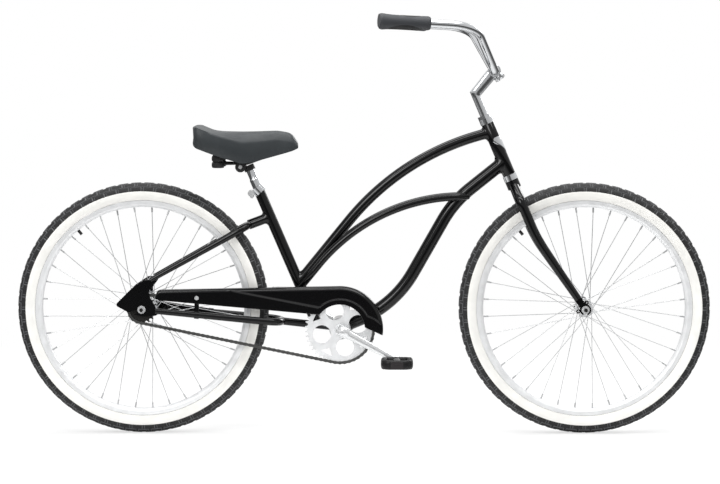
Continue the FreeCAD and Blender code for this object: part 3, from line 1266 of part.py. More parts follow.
def crank():
    """One-piece crank: a spindle bent into two arms, with a drive pin for the ring."""
    lean_per_length = CRANK_LEAN / CRANK_LENGTH
    stub = CRANK_BEND_RADIUS + SPINDLE_RADIUS / 2
    right = [vec(stub, -ELBOW_PLACE - lean_per_length * stub, 0), vec(0, -ELBOW_PLACE, 0)]
    left = [vec(-p.x, -p.y, 0) for p in reversed(right)]
    body = bar([*right, *left], (CRANK_BEND_RADIUS, CRANK_BEND_RADIUS), SPINDLE_RADIUS)
    root = arm_section(stub / 2, -ELBOW_PLACE - lean_per_length * stub / 2, ARM_ROOT_WIDTH)
    tip = arm_section(CRANK_LENGTH, -EYE_PLACE, ARM_END_WIDTH)
    arm = Part.makeLoft([root, tip], True, True)
    eye_low = vec(CRANK_LENGTH, -EYE_PLACE - EYE_WIDTH / 2, 0)
    arm = arm.fuse(Part.makeCylinder(EYE_RADIUS, EYE_WIDTH, eye_low, Y_AXIS))
    arm = arm.cut(Part.makeCylinder(PEDAL_AXLE_RADIUS + SLIP, EYE_WIDTH, eye_low, Y_AXIS))
    other = placed(arm, ORIGIN, Z_AXIS, 180)
    pin_low = vec(DRIVE_PIN_PLACE, -ELBOW_PLACE, 0)
    pin_length = ELBOW_PLACE - CHAIN_LINE + RING_THICKNESS / 2
    pin = Part.makeCylinder(DRIVE_PIN_RADIUS, pin_length, pin_low, Y_AXIS)
    body = body.fuse([arm, other, pin])
    return placed(body, CRANK_AXLE, Y_AXIS, CRANK_TURN_DEG)


def crank_bearing():
    """Cups, bearing rings and cones of the bracket, right side then mirrored."""
    base = SHELL_WIDTH / 2
    cup_out = SHELL_BORE_RADIUS - SLIP
    cup_in = cup_out - CRANK_CUP_WALL
    floor = base - CRANK_CUP_DEPTH + CRANK_CUP_WALL
    lip = CRANK_CONE_RADIUS + CRANK_CUP_WALL
    rim_radius = SHELL_RADIUS - SLIP
    cup = ((lip, base - CRANK_CUP_DEPTH), (cup_out, base - CRANK_CUP_DEPTH), (cup_out, base), (rim_radius, base),
           (rim_radius, base + CRANK_CUP_FLANGE), (cup_in, base + CRANK_CUP_FLANGE), (cup_in, floor), (lip, floor))
    top = floor + CRANK_BEARING_WIDTH
    balls = ((CRANK_CONE_RADIUS + CLEAR, floor), (cup_in, floor), (cup_in, top), (CRANK_CONE_RADIUS + CLEAR, top))
    bore = SPINDLE_RADIUS + SLIP
    face = CHAIN_LINE - RING_THICKNESS / 2
    flange = (CRANK_CONE_RADIUS + cup_in) / 2
    cone_part = ((bore, floor), (CRANK_CONE_RADIUS, floor), (CRANK_CONE_RADIUS, top + CLEAR), (flange, top + CLEAR),
                 (flange, face), (bore, face))
    nut_end = ELBOW_PLACE - CRANK_BEND_RADIUS - CLEAR
    nut = ring(bore, flange, face, nut_end).translated(CRANK_AXLE)
    left = [turned(profile).translated(CRANK_AXLE) for profile in (cup, balls, cone_part)]
    return {
        "bracket_cups": both_sides(left[0]),
        "bracket_bearings": both_sides(left[1]),
        "crank_cones": Part.makeCompound([left[2].fuse(nut).removeSplitter(), mirrored(left[2])]),
    }


def pedal_axle():
    """Right pedal axle, screwed into the crank's eye, about the Y axis."""
    start = EYE_PLACE - EYE_WIDTH / 2
    shoulder = EYE_PLACE + EYE_WIDTH / 2
    end = shoulder + PEDAL_GAP + PEDAL_WIDTH - PEDAL_WALL
    wide = PEDAL_AXLE_RADIUS + PEDAL_TOOTH
    profile = ((0, -start), (PEDAL_AXLE_RADIUS, -start), (PEDAL_AXLE_RADIUS, -shoulder), (wide, -shoulder),
               (wide, -shoulder - PEDAL_GAP + CLEAR), (PEDAL_AXLE_RADIUS, -shoulder - PEDAL_GAP + CLEAR),
               (PEDAL_AXLE_RADIUS, -end), (0, -end))
    return turned(profile)


def pedal_body():
    """Right pedal: a flat frame with two windows beside the axle barrel and toothed edges."""
    near = EYE_PLACE + EYE_WIDTH / 2 + PEDAL_GAP
    far = near + PEDAL_WIDTH
    half = PEDAL_LENGTH / 2
    low = -PEDAL_HEIGHT / 2
    slant = PEDAL_CHAMFER
    outline = [vec(-half, -near - slant, low), vec(-half + slant, -near, low), vec(half - slant, -near, low),
               vec(half, -near - slant, low), vec(half, -far + slant, low), vec(half - slant, -far, low),
               vec(-half + slant, -far, low), vec(-half, -far + slant, low)]
    body = Part.Face(rounded_wire(outline, [slant / 4] * len(outline), True)).extrude(Z_AXIS * PEDAL_HEIGHT)
    inner = PEDAL_BARREL_RADIUS + PEDAL_TOOTH
    window = [vec(inner, -near - PEDAL_WALL, low), vec(half - slant, -near - PEDAL_WALL, low),
              vec(half - PEDAL_WALL, -near - slant, low), vec(half - PEDAL_WALL, -far + slant, low),
              vec(half - slant, -far + PEDAL_WALL, low), vec(inner, -far + PEDAL_WALL, low)]
    hole = Part.Face(rounded_wire(window, [PEDAL_TOOTH] * 6, True)).extrude(Z_AXIS * PEDAL_HEIGHT)
    mirror_hole = hole.mirror(ORIGIN, X_AXIS)
    middle = PEDAL_WIDTH - 2 * PEDAL_WALL
    recess_low = vec(-inner, -far + PEDAL_WALL, low)
    waist = PEDAL_HEIGHT / 2 - PEDAL_BARREL_RADIUS * PEDAL_WAIST_SHARE
    recess = Part.makeBox(2 * inner, middle, waist, recess_low)
    upper = recess.translated(Z_AXIS * (PEDAL_HEIGHT - waist))
    bore_low = vec(0, -far + PEDAL_WALL / 2, 0)
    bore = Part.makeCylinder(PEDAL_AXLE_RADIUS + SLIP, PEDAL_WIDTH, bore_low, Y_AXIS)
    body = body.cut([hole, mirror_hole, recess, upper, bore])
    pitch = (PEDAL_WIDTH - 2 * slant) / PEDAL_TEETH
    teeth = []
    for i in range(PEDAL_TEETH):
        y = -far + slant + pitch * (i + 1 / 4)
        for x in (-half, half - PEDAL_WALL * HALF_SHARE):
            for z in (low - PEDAL_TOOTH, low + PEDAL_HEIGHT):
                teeth.append(Part.makeBox(PEDAL_WALL * HALF_SHARE, pitch / 2, PEDAL_TOOTH, vec(x, y, z)))
    return body.fuse(teeth)


def drive():
    right_eye = CRANK_AXLE + polar(CRANK_LENGTH, -CRANK_TURN_DEG)
    left_eye = CRANK_AXLE - polar(CRANK_LENGTH, -CRANK_TURN_DEG)
    pedal = pedal_body()
    spindle = pedal_axle()
    nodes = {
        "drive_chain": chain(),
        "chainring": chainring(),
        "crank": crank(),
        "pedal_axles": Part.makeCompound([spindle.translated(right_eye), mirrored(spindle).translated(left_eye)]),
        "pedal_right": pedal.translated(right_eye),
        "pedal_left": mirrored(pedal).translated(left_eye),
    }
    nodes.update(rear_sprocket())
    nodes.update(coaster_arm())
    nodes.update(crank_bearing())
    return nodes


def from_crank(radius, angle_deg):
    return CRANK_AXLE + polar(radius, angle_deg)


def arch(radius, start_deg, end_deg):
    """Start of an arc round the crank axle, with the arc's middle point."""
    return from_crank(radius, start_deg), from_crank(radius, (start_deg + end_deg) / 2)


def guard_tail(x, z):
    return CRANK_AXLE + vec(x, 0, z)


def at_depth(stops, y):
    """The same outline moved to a place along Y."""
    out = Y_AXIS * y
    return [(point + out, None if middle is None else middle + out) for point, middle in stops]


def chain_guard():
    """Pressed guard: an arch round the ring and a tail, with a raised panel and a top flange."""
    outer = GUARD_OUTER_RADIUS
    inner = GUARD_INNER_RADIUS
    drop = GUARD_OUTER_RADIUS - GUARD_TAIL_TOP
    tail_x = -GUARD_TAIL_LENGTH
    face = [
        arch(outer, GUARD_TIP_DEG, 90),
        (from_crank(outer, 90), None),
        (guard_tail(tail_x + GUARD_TAIL_ROUND, GUARD_TAIL_TOP), None),
        (guard_tail(tail_x, GUARD_TAIL_TOP - GUARD_TAIL_ROUND / 2), None),
        (guard_tail(tail_x, GUARD_TAIL_LOW + GUARD_TAIL_ROUND), None),
        (guard_tail(tail_x + GUARD_TAIL_ROUND * 2, GUARD_TAIL_LOW), None),
        arch(inner, GUARD_HEEL_DEG, GUARD_TIP_INNER_DEG),
        (from_crank(inner, GUARD_TIP_INNER_DEG), None),
    ]
    sheet = edge_face(at_depth(face, -GUARD_FACE)).extrude(Y_AXIS * GUARD_SHEET)
    edge = outer - GUARD_SHEET
    slope = drop / GUARD_TAIL_LENGTH
    start = guard_tail(-GUARD_PANEL_LENGTH, edge - slope * GUARD_PANEL_LENGTH)
    panel = [
        arch(edge, GUARD_TIP_INNER_DEG, 90),
        (from_crank(edge, 90), None),
        (start, None),
        arch(GUARD_PANEL_RADIUS, GUARD_PANEL_HEEL_DEG, GUARD_PANEL_TIP_DEG),
        (from_crank(GUARD_PANEL_RADIUS, GUARD_PANEL_TIP_DEG), None),
    ]
    raised = edge_face(at_depth(panel, -GUARD_FACE)).extrude(-Y_AXIS * GUARD_PANEL_RISE)
    tail_top = guard_tail(tail_x + GUARD_TAIL_ROUND, GUARD_TAIL_TOP)
    band = [
        arch(outer, GUARD_TIP_DEG, 90),
        (from_crank(outer, 90), None),
        (tail_top, None),
        (tail_top - Z_AXIS * GUARD_SHEET, None),
        arch(edge, 90, GUARD_TIP_DEG),
        (from_crank(edge, GUARD_TIP_DEG), None),
    ]
    flange = edge_face(at_depth(band, -GUARD_FACE)).extrude(Y_AXIS * GUARD_DEPTH)
    screw = guard_tail(-GUARD_SCREW_PLACE, GUARD_SCREW_RISE) - Y_AXIS * GUARD_FACE
    hole = Part.makeCylinder(SCREW_RADIUS + SLIP, GUARD_SHEET, screw, Y_AXIS)
    return sheet.fuse([raised, flange]).cut(hole).removeSplitter()


def guard_mounts():
    """Band and strap on the chainstay, strap on the bracket shell, and the screw."""
    screw = guard_tail(-GUARD_SCREW_PLACE, GUARD_SCREW_RISE)
    band, centre, radius = stay_clip(screw.x, RIGHT)
    back = GUARD_FACE - GUARD_SHEET
    half = X_AXIS * (GUARD_STRAP_WIDTH / 2)
    high = screw + Z_AXIS * (GUARD_STRAP_WIDTH / 2)
    foot = vec(screw.x, 0, centre.z)
    strap = plate([foot - half, foot + half, high + half, high - half], (0, 0, 0, 0),
                  -back, -back + GUARD_STRAP_THICKNESS)
    hole = Part.makeCylinder(SCREW_RADIUS + SLIP, GUARD_STRAP_THICKNESS, screw - Y_AXIS * back, Y_AXIS)
    rear = main_solid(band.fuse(strap).cut([stay_loop()[1], hole]))
    head = Part.makeCylinder(SCREW_HEAD_RADIUS, SCREW_HEAD_HEIGHT,
                             screw - Y_AXIS * (GUARD_FACE + SCREW_HEAD_HEIGHT), Y_AXIS)
    shank_length = GUARD_SHEET + GUARD_STRAP_THICKNESS + SCREW_HEAD_HEIGHT
    shank = Part.makeCylinder(SCREW_RADIUS, shank_length, screw - Y_AXIS * GUARD_FACE, Y_AXIS)
    shell = straight(CRANK_AXLE - Y_AXIS * SHELL_WIDTH, CRANK_AXLE + Y_AXIS * SHELL_WIDTH, SHELL_RADIUS)
    root = CRANK_AXLE + X_AXIS * FRONT_STRAP_PLACE
    under = GUARD_OUTER_RADIUS - GUARD_SHEET
    top = root + Z_AXIS * under
    low = -SHELL_WIDTH / 2 + GUARD_STRAP_THICKNESS / 2
    upright = plate([root - half, root + half, top + half, top - half], (0, 0, 0, 0),
                    low, low + GUARD_STRAP_THICKNESS)
    shelf_low = top - Z_AXIS * GUARD_DEPTH
    shelf = plate([shelf_low - half, shelf_low + half, top + half, top - half], (0, 0, 0, 0), -back, low)
    cover = straight(CRANK_AXLE - Y_AXIS * SHELL_WIDTH, CRANK_AXLE + Y_AXIS * SHELL_WIDTH, under)
    hollow = straight(CRANK_AXLE - Y_AXIS * SHELL_WIDTH, CRANK_AXLE, under - GUARD_STRAP_THICKNESS)
    front = upright.fuse(shelf.cut(hollow)).common(cover).cut(shell)
    return {
        "guard_rear_bracket": rear,
        "guard_front_bracket": main_solid(front),
        "guard_screw": head.fuse(shank).removeSplitter(),
    }


SADDLE_BOLT = on_seat(POST_TOP + SADDLE_CLAMP_UP, SADDLE_CLAMP_BACK)
RAIL_HEIGHT = SADDLE_BOLT.z + RAIL_RISE
SADDLE_TIP_X = SADDLE_BOLT.x + SADDLE_NOSE
SADDLE_BASE_Z = SADDLE_BOLT.z + SADDLE_FLOOR


def seat_collar():
    """Clamp collar at the seat tube's top, with a split, ears behind and a bolt."""
    outer = SEAT_TUBE_RADIUS + SEAT_COLLAR_WALL
    low = SEAT_TUBE_LENGTH - SEAT_COLLAR_HEIGHT
    body = Part.makeCylinder(outer, SEAT_COLLAR_HEIGHT, Z_AXIS * low)
    ear_reach = outer + SEAT_COLLAR_EAR
    half = SEAT_COLLAR_EAR_WIDTH / 2
    body = body.fuse(Part.makeBox(ear_reach, 2 * half, SEAT_COLLAR_HEIGHT, vec(-ear_reach, -half, low)))
    bore = Part.makeCylinder(SEAT_TUBE_RADIUS + SLIP, SEAT_COLLAR_HEIGHT, Z_AXIS * low)
    split_half = CLAMP_SLIT / 2
    split = Part.makeBox(ear_reach, 2 * split_half, SEAT_COLLAR_HEIGHT, vec(-ear_reach, -split_half, low))
    bolt_at = vec(-outer - SEAT_COLLAR_EAR / 2, -half, low + SEAT_COLLAR_HEIGHT / 2)
    hole = Part.makeCylinder(CLAMP_BOLT_RADIUS + SLIP, 2 * half, bolt_at, Y_AXIS)
    body = body.cut([bore, split, hole])
    head = bolt_at - Y_AXIS * BOLT_HEAD_HEIGHT
    shank = Part.makeCylinder(CLAMP_BOLT_RADIUS, 2 * (half + BOLT_HEAD_HEIGHT), head, Y_AXIS)
    ends = Part.makeCylinder(BOLT_HEAD_RADIUS, BOLT_HEAD_HEIGHT, head, Y_AXIS)
    bolt = shank.fuse([ends, ends.translated(Y_AXIS * (2 * half + BOLT_HEAD_HEIGHT))]).removeSplitter()
    return {"seat_collar": seated(body), "seat_collar_bolt": seated(bolt)}


def seat_post():
    """Post with a slimmer neck, and the collar and bolt on it that carry the saddle."""
    low = POST_TOP - POST_LENGTH
    neck = POST_TOP - POST_NECK
    profile = ((POST_RADIUS - POST_WALL, low), (POST_RADIUS, low), (POST_RADIUS, neck - POST_WALL),
               (POST_TOP_RADIUS, neck), (POST_TOP_RADIUS, POST_TOP), (POST_TOP_RADIUS - POST_WALL, POST_TOP),
               (POST_TOP_RADIUS - POST_WALL, neck), (POST_RADIUS - POST_WALL, neck - POST_WALL))
    post = seated(turned(profile, ORIGIN, Z_AXIS))
    bore = POST_TOP_RADIUS + SLIP
    outer = bore + SADDLE_CLAMP_COLLAR
    collar_low = POST_TOP - SADDLE_CLAMP_HEIGHT
    collar = Part.makeCylinder(outer, SADDLE_CLAMP_HEIGHT, Z_AXIS * collar_low)
    collar = seated(collar)
    half = RAIL_SPREAD - RAIL_RADIUS - SADDLE_CLAMP_COLLAR
    boss_radius = SADDLE_CLAMP_RADIUS - SADDLE_CLAMP_COLLAR
    boss = Part.makeCylinder(boss_radius, 2 * half, SADDLE_BOLT - Y_AXIS * half, Y_AXIS)
    filled = seated(Part.makeCylinder(bore, SADDLE_CLAMP_HEIGHT, Z_AXIS * collar_low))
    bolt_half = SADDLE_CLAMP_WIDTH / 2 + SADDLE_CLAMP_COLLAR
    bolt_hole = Part.makeCylinder(CLAMP_BOLT_RADIUS + SLIP, 2 * half, SADDLE_BOLT - Y_AXIS * half, Y_AXIS)
    head = main_solid(collar.fuse(boss).cut([filled, bolt_hole]))
    bolt = Part.makeCylinder(CLAMP_BOLT_RADIUS, 2 * bolt_half, SADDLE_BOLT - Y_AXIS * bolt_half, Y_AXIS)
    cap_low = SADDLE_CLAMP_WIDTH / 2 + CLEAR
    cap = Part.makeCylinder(BOLT_HEAD_RADIUS, bolt_half - cap_low, SADDLE_BOLT + Y_AXIS * cap_low, Y_AXIS)
    bolt = bolt.fuse([cap, cap.mirror(ORIGIN, Y_AXIS)]).removeSplitter()
    return {"seat_post": post, "saddle_clamp": head, "saddle_clamp_bolt": bolt}


def saddle_at(share):
    return SADDLE_TIP_X - SADDLE_LENGTH * share


def saddle_height(share):
    return SADDLE_BASE_Z + SADDLE_HEIGHT * share


def between(value, table_x, table_y):
    """Straight-line reading of a table."""
    for i in range(len(table_x) - 1):
        if table_x[i] <= value <= table_x[i + 1]:
            share = (value - table_x[i]) / (table_x[i + 1] - table_x[i])
            return table_y[i] + (table_y[i + 1] - table_y[i]) * share
    return table_y[-1]


def saddle_section(i):
    """One cross-section: a flat foot, two swelling sides and a crown."""
    x = saddle_at(SADDLE_STATION_SHARES[i])
    half = SADDLE_HALF_WIDTH * SADDLE_HALF_SHARES[i]
    low = saddle_height(SADDLE_LOW_SHARES[i])
    shoulder = saddle_height(SADDLE_SHOULDER_SHARES[i])
    crown = saddle_height(SADDLE_CROWN_SHARES[i])
    foot = half * SADDLE_FOOT_SHARE
    swell = half * SADDLE_SIDE_BULGE_SHARE
    tuck = half * SADDLE_SHOULDER_IN_SHARE
    middle = (low + shoulder) / 2
    edges = [
        Part.LineSegment(vec(x, -foot, low), vec(x, foot, low)).toShape(),
        Part.Arc(vec(x, foot, low), vec(x, swell, middle), vec(x, tuck, shoulder)).toShape(),
        Part.Arc(vec(x, tuck, shoulder), vec(x, 0, crown), vec(x, -tuck, shoulder)).toShape(),
        Part.Arc(vec(x, -tuck, shoulder), vec(x, -swell, middle), vec(x, -foot, low)).toShape(),
    ]
    return Part.Wire(edges)


def saddle_box(i, inset, low, high):
    """Rectangle across the saddle's hollow underside at one station."""
    x = saddle_at(SADDLE_STATION_SHARES[i])
    half = SADDLE_HALF_WIDTH * SADDLE_HALF_SHARES[i] * SADDLE_FOOT_SHARE - inset
    corners = [vec(x, -half, low), vec(x, half, low), vec(x, half, high), vec(x, -half, high)]
    return Part.makePolygon(corners + corners[:1])


def saddle():
    """Padded cover, base, rails, rubber bumpers and the cheeks that hold the rails."""
    stations = range(len(SADDLE_STATION_SHARES))
    inner = stations[1:-1]
    pad = Part.makeLoft([saddle_section(i) for i in stations], True, False)
    floor = SADDLE_BASE_Z - SADDLE_HEIGHT
    roofs = {i: saddle_height(SADDLE_ROOF_SHARES[i]) for i in inner}
    hollow = Part.makeLoft([saddle_box(i, SADDLE_SKIRT, floor, roofs[i]) for i in inner], True, True)
    cover = pad.cut(hollow)
    base = Part.makeLoft([saddle_box(i, SADDLE_SKIRT + CLEAR, roofs[i] - SADDLE_BASE_THICKNESS, roofs[i] - CLEAR)
                          for i in inner], True, True)

    def base_under(share):
        return saddle_height(between(share, SADDLE_STATION_SHARES, SADDLE_ROOF_SHARES)) - SADDLE_BASE_THICKNESS

    rear_x = saddle_at(BUMPER_PLACE_SHARE)
    nose_x = saddle_at(RAIL_NOSE_SHARE)
    nose_z = base_under(RAIL_NOSE_SHARE) - RAIL_RADIUS - CLEAR
    clamp_half = SADDLE_CLAMP_RADIUS + SADDLE_CLAMP_COLLAR
    route = [vec(rear_x, RIGHT * BUMPER_SPREAD, RAIL_HEIGHT),
             vec(SADDLE_BOLT.x - clamp_half, RIGHT * RAIL_SPREAD, RAIL_HEIGHT),
             vec(SADDLE_BOLT.x + clamp_half, RIGHT * RAIL_SPREAD, RAIL_HEIGHT),
             vec(nose_x, RIGHT * RAIL_SPREAD * HALF_SHARE, nose_z)]
    rail = bar(route, (RAIL_BEND_RADIUS, RAIL_BEND_RADIUS), RAIL_RADIUS)
    bumper_top = base_under(BUMPER_PLACE_SHARE + BUMPER_RADIUS / SADDLE_LENGTH) - CLEAR
    bumper_top = min(bumper_top, base_under(BUMPER_PLACE_SHARE - BUMPER_RADIUS / SADDLE_LENGTH) - CLEAR)
    bumper_low = RAIL_HEIGHT - RAIL_RADIUS * 3
    waist = BUMPER_RADIUS * BUMPER_WAIST_SHARE
    bead = (bumper_top - bumper_low) / 4
    profile = ((0, bumper_low), (waist, bumper_low), (BUMPER_RADIUS, bumper_low + bead / 2),
               (BUMPER_RADIUS, bumper_low + bead), (waist, bumper_low + bead * 3 / 2),
               (BUMPER_RADIUS, bumper_low + bead * 2), (BUMPER_RADIUS, bumper_top), (0, bumper_top))
    bumper = turned(profile, vec(rear_x, RIGHT * BUMPER_SPREAD, 0), Z_AXIS).cut(rail)
    cheek_low = RAIL_SPREAD - RAIL_RADIUS - SADDLE_CLAMP_COLLAR + CLEAR
    cheek_width = SADDLE_CLAMP_WIDTH / 2 - cheek_low
    cheek_at = SADDLE_BOLT - Y_AXIS * (SADDLE_CLAMP_WIDTH / 2)
    cheek = Part.makeCylinder(SADDLE_CLAMP_RADIUS, cheek_width, cheek_at, Y_AXIS)
    cheek = cheek.cut([rail, Part.makeCylinder(CLAMP_BOLT_RADIUS + SLIP, cheek_width, cheek_at, Y_AXIS)])
    return {
        "saddle_cover": main_solid(cover),
        "saddle_base": base,
        "saddle_rails": both_sides(rail),
        "saddle_bumpers": both_sides(main_solid(bumper)),
        "saddle_cheeks": both_sides(main_solid(cheek)),
    }


GROUPS = {
    "stay_bridges": ("chainstay_bridge", "seatstay_bridge"),
    "frame_bearings": ("headset_bearings", "bracket_bearings"),
    "headset_races": ("headset_cone", "crown_race", "headset_locknut"),
    "fork_crown": ("fork_steerer", "fork_crown"),
    "front_axle": ("front_axle", "front_cones"),
    "rear_axle": ("rear_axle", "rear_cones"),
    "front_hub": ("front_hub", "front_hub_bearings"),
    "rear_hub": ("rear_hub", "rear_hub_bearings"),
    "rear_sprocket": ("rear_sprocket", "hub_driver"),
    "brake_arm": ("brake_arm", "brake_arm_clip"),
    "guard_brackets": ("guard_rear_bracket", "guard_front_bracket"),
    "frame_screws": ("guard_screw", "seat_collar_bolt"),
    "saddle_rails": ("saddle_rails", "saddle_cheeks"),
}


def build():
    """Every node of the bicycle, by name; small pieces of one body share a node."""
    nodes = {}
    for group in (main_tubes, rear_triangle, headset, head_badge, fork, stem, handlebar, wheels, drive,
                  guard_mounts, seat_collar, seat_post, saddle):
        nodes.update(group())
    nodes["chain_guard"] = chain_guard()
    for name, members in GROUPS.items():
        solids = []
        for member in members:
            solids.extend(nodes.pop(member).Solids)
        nodes[name] = Part.makeCompound(solids)
    return nodes


os.makedirs("parts", exist_ok=True)
for name, shape in build().items():
    shape.exportStep(os.path.join("parts", name + ".step"))
    print(name, len(shape.Solids), round(shape.Volume), shape.isValid())
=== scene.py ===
# %% [markdown]
# # A beach cruiser bicycle
# The bicycle comes in as solids in metres: +X forward, +Y to the rider's left, +Z up.
# This lesson dresses it. Round tubes, tyres, saddle and guard are drawn again as smooth
# surfaces in the places the solids hold, and every solid that still shows gets a finish.

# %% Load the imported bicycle
import json

import bmesh
import bpy
import numpy as np
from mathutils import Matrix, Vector

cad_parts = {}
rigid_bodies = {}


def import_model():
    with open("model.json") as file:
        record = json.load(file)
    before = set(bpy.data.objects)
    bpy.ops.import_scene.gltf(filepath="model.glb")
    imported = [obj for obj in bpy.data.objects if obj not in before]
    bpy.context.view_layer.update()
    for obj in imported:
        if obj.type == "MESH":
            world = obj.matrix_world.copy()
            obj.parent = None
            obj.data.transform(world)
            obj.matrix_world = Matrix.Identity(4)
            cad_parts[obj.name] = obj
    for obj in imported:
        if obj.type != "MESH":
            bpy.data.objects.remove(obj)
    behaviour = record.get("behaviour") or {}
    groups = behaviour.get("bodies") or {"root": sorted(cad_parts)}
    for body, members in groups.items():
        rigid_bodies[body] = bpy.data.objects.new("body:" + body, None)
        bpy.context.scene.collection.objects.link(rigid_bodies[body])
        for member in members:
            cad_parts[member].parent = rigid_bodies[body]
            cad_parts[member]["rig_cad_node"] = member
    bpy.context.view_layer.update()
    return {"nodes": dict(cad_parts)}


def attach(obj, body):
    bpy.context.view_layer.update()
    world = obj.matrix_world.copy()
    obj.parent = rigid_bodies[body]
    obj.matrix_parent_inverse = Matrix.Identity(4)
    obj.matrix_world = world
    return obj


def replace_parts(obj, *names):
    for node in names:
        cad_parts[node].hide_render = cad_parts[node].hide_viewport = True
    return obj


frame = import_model()
print("nodes:", len(frame["nodes"]))

# %% [markdown]
# ## Camera
# The picture is a plain side view from about the height of the handlebar. The camera tilts
# down a few degrees and a shift of the lens does the rest of the framing, so upright lines
# stay almost upright. The bicycle is sized in millimetres, the studio in metres.

# %% Camera
MM = 0.001
PICTURE_WIDTH = 1901 * MM
EYE_DISTANCE = 7000 * MM
EYE_HEIGHT = 1040 * MM
EYE_X = 60 * MM
EYE_TILT = np.radians(3.42)
EYE_YAW = np.radians(0.570)
LENS_SHIFT = -0.06
SENSOR = 36.0


def placed(name, data):
    """New object that holds some data, linked into the scene."""
    made = bpy.data.objects.new(name, data)
    bpy.context.scene.collection.objects.link(made)
    return made


camera_data = bpy.data.cameras.new("side_camera")
camera = placed("side_camera", camera_data)
camera_data.sensor_width = SENSOR
camera_data.lens = SENSOR * EYE_DISTANCE / PICTURE_WIDTH
camera_data.shift_y = LENS_SHIFT
camera.location = (EYE_X, -EYE_DISTANCE, EYE_HEIGHT)
camera.rotation_euler = (np.pi / 2 - EYE_TILT, 0, EYE_YAW)
bpy.context.scene.camera = camera
bpy.context.scene.view_settings.view_transform = "Standard"
print("lens", round(camera_data.lens, 1), "mm")


# %% One function adds any node
def rgb(code):
    """sRGB hex colour as linear light: a straight start, then a power of 2.4."""
    value = np.array([int(code[i:i + 2], 16) for i in (1, 3, 5)]) / 255
    linear = np.where(value <= 0.04045, value / 12.92, ((value + 0.055) / 1.055) ** 2.4)
    return (*linear, 1.0)


def add(tree, kind, inputs=None, **settings):
    """Adds a node, sets its settings, and fills each named input with a value or a link."""
    made = tree.nodes.new("ShaderNode" + kind)
    for key, value in settings.items():
        setattr(made, key, value)
    for key, value in (inputs or {}).items():
        if isinstance(value, bpy.types.NodeSocket):
            tree.links.new(value, made.inputs[key])
        else:
            made.inputs[key].default_value = value
    return made


def remap(tree, value, reads, gives):
    """Carries a range of readings over to a range of results, in proportion."""
    made = add(tree, "MapRange", {"Value": value, "From Min": reads[0], "From Max": reads[1],
                                  "To Min": gives[0], "To Max": gives[1]})
    return made.outputs[0]


def fresh_tree(owner):
    """Empty node tree of a world or a material."""
    owner.use_nodes = True
    owner.node_tree.nodes.clear()
    return owner.node_tree


# %% [markdown]
# ## Studio
# Gloss paint and chrome show what stands round them. The world is white to the camera,
# softer as a light and darker in front for reflections. The floor is white paper, but dark
# for reflections further out, as a black card there would be, so black paint stays deep.

# %% World
world = bpy.data.worlds.new("studio")
bpy.context.scene.world = world
tree = fresh_tree(world)
rays = add(tree, "LightPath").outputs
shown = add(tree, "Math", {0: rays["Is Camera Ray"], 1: rays["Is Transmission Ray"]}, operation="MAXIMUM")
ways = add(tree, "TexCoord")
parts = add(tree, "SeparateXYZ", {0: ways.outputs["Generated"]})
height = remap(tree, parts.outputs["Z"], (-0.1, 0.9), (0.3, 0.75))
mirror_light = remap(tree, parts.outputs["Y"], (-1.0, 0.6), (0.6, 0.95))
soft = add(tree, "Mix", {"Factor": rays["Is Glossy Ray"], "A": height, "B": mirror_light}, data_type="FLOAT")
level = add(tree, "Mix", {"Factor": shown.outputs[0], "A": soft.outputs[0], "B": 1.0}, data_type="FLOAT")
sky = add(tree, "Background", {"Color": (1, 1, 1, 1), "Strength": level.outputs[0]})
add(tree, "OutputWorld", {"Surface": sky.outputs[0]})
print("world nodes:", len(tree.nodes))

# %% Floor paper
floor_material = bpy.data.materials.new("studio_floor")
tree = fresh_tree(floor_material)
rays = add(tree, "LightPath").outputs
glow = add(tree, "Emission", {"Color": (1, 1, 1, 1), "Strength": 1.0})
spot = add(tree, "TexCoord")
far = add(tree, "VectorMath", {0: spot.outputs["Object"]}, operation="LENGTH").outputs["Value"]
flag = remap(tree, far, (0.7, 1.9), (0.0, 0.86))
hidden = add(tree, "Math", {0: rays["Is Glossy Ray"], 1: flag}, operation="MULTIPLY")
paper = add(tree, "Mix", {"Factor": hidden.outputs[0], "A": rgb("#f4f4f4"), "B": (0, 0, 0, 1)},
            data_type="RGBA")
matte = add(tree, "BsdfDiffuse", {"Color": paper.outputs["Result"]})
fade = remap(tree, far, (0.9, 2.4), (0.62, 1.0))
seen = add(tree, "Math", {0: rays["Is Camera Ray"], 1: fade}, operation="MULTIPLY")
mix = add(tree, "MixShader", {0: seen.outputs[0], 1: matte.outputs[0], 2: glow.outputs[0]})
add(tree, "OutputMaterial", {"Surface": mix.outputs[0]})
print("floor nodes:", len(tree.nodes))

# %% Floor
FLOOR_HALF = 30.0
floor_mesh = bpy.data.meshes.new("floor")
corner = np.array([(-1, -1, 0), (1, -1, 0), (1, 1, 0), (-1, 1, 0)], float) * FLOOR_HALF
floor_mesh.from_pydata(corner.tolist(), [], [(0, 1, 2, 3)])
floor_mesh.materials.append(floor_material)
floor = placed("floor", floor_mesh)
print("floor", 2 * FLOOR_HALF, "m wide")


# %% Lamps
def lamp(name, place, aim, size, watts):
    """Rectangular area lamp at a place, turned to an aim point."""
    data = bpy.data.lights.new(name, "AREA")
    data.shape = "RECTANGLE"
    data.size, data.size_y = size
    data.energy = watts
    made = placed(name, data)
    made.location = place
    toward = Vector(aim) - Vector(place)
    made.rotation_euler = toward.to_track_quat("-Z", "Y").to_euler()


lamp("overhead_panel", (0.1, 0.2, 3.0), (0, 0, 0.4), (3.2, 1.2), 50)
lamp("overhead_strip", (0.1, -1.3, 2.7), (0, 0, 0.5), (3.6, 0.45), 34)
lamp("front_panel", (-1.6, -3.2, 2.2), (0, 0, 0.5), (1.6, 1.2), 40)
lamp("back_panel", (1.8, 2.6, 2.0), (0, 0, 0.5), (1.6, 1.0), 35)
print("studio ready")

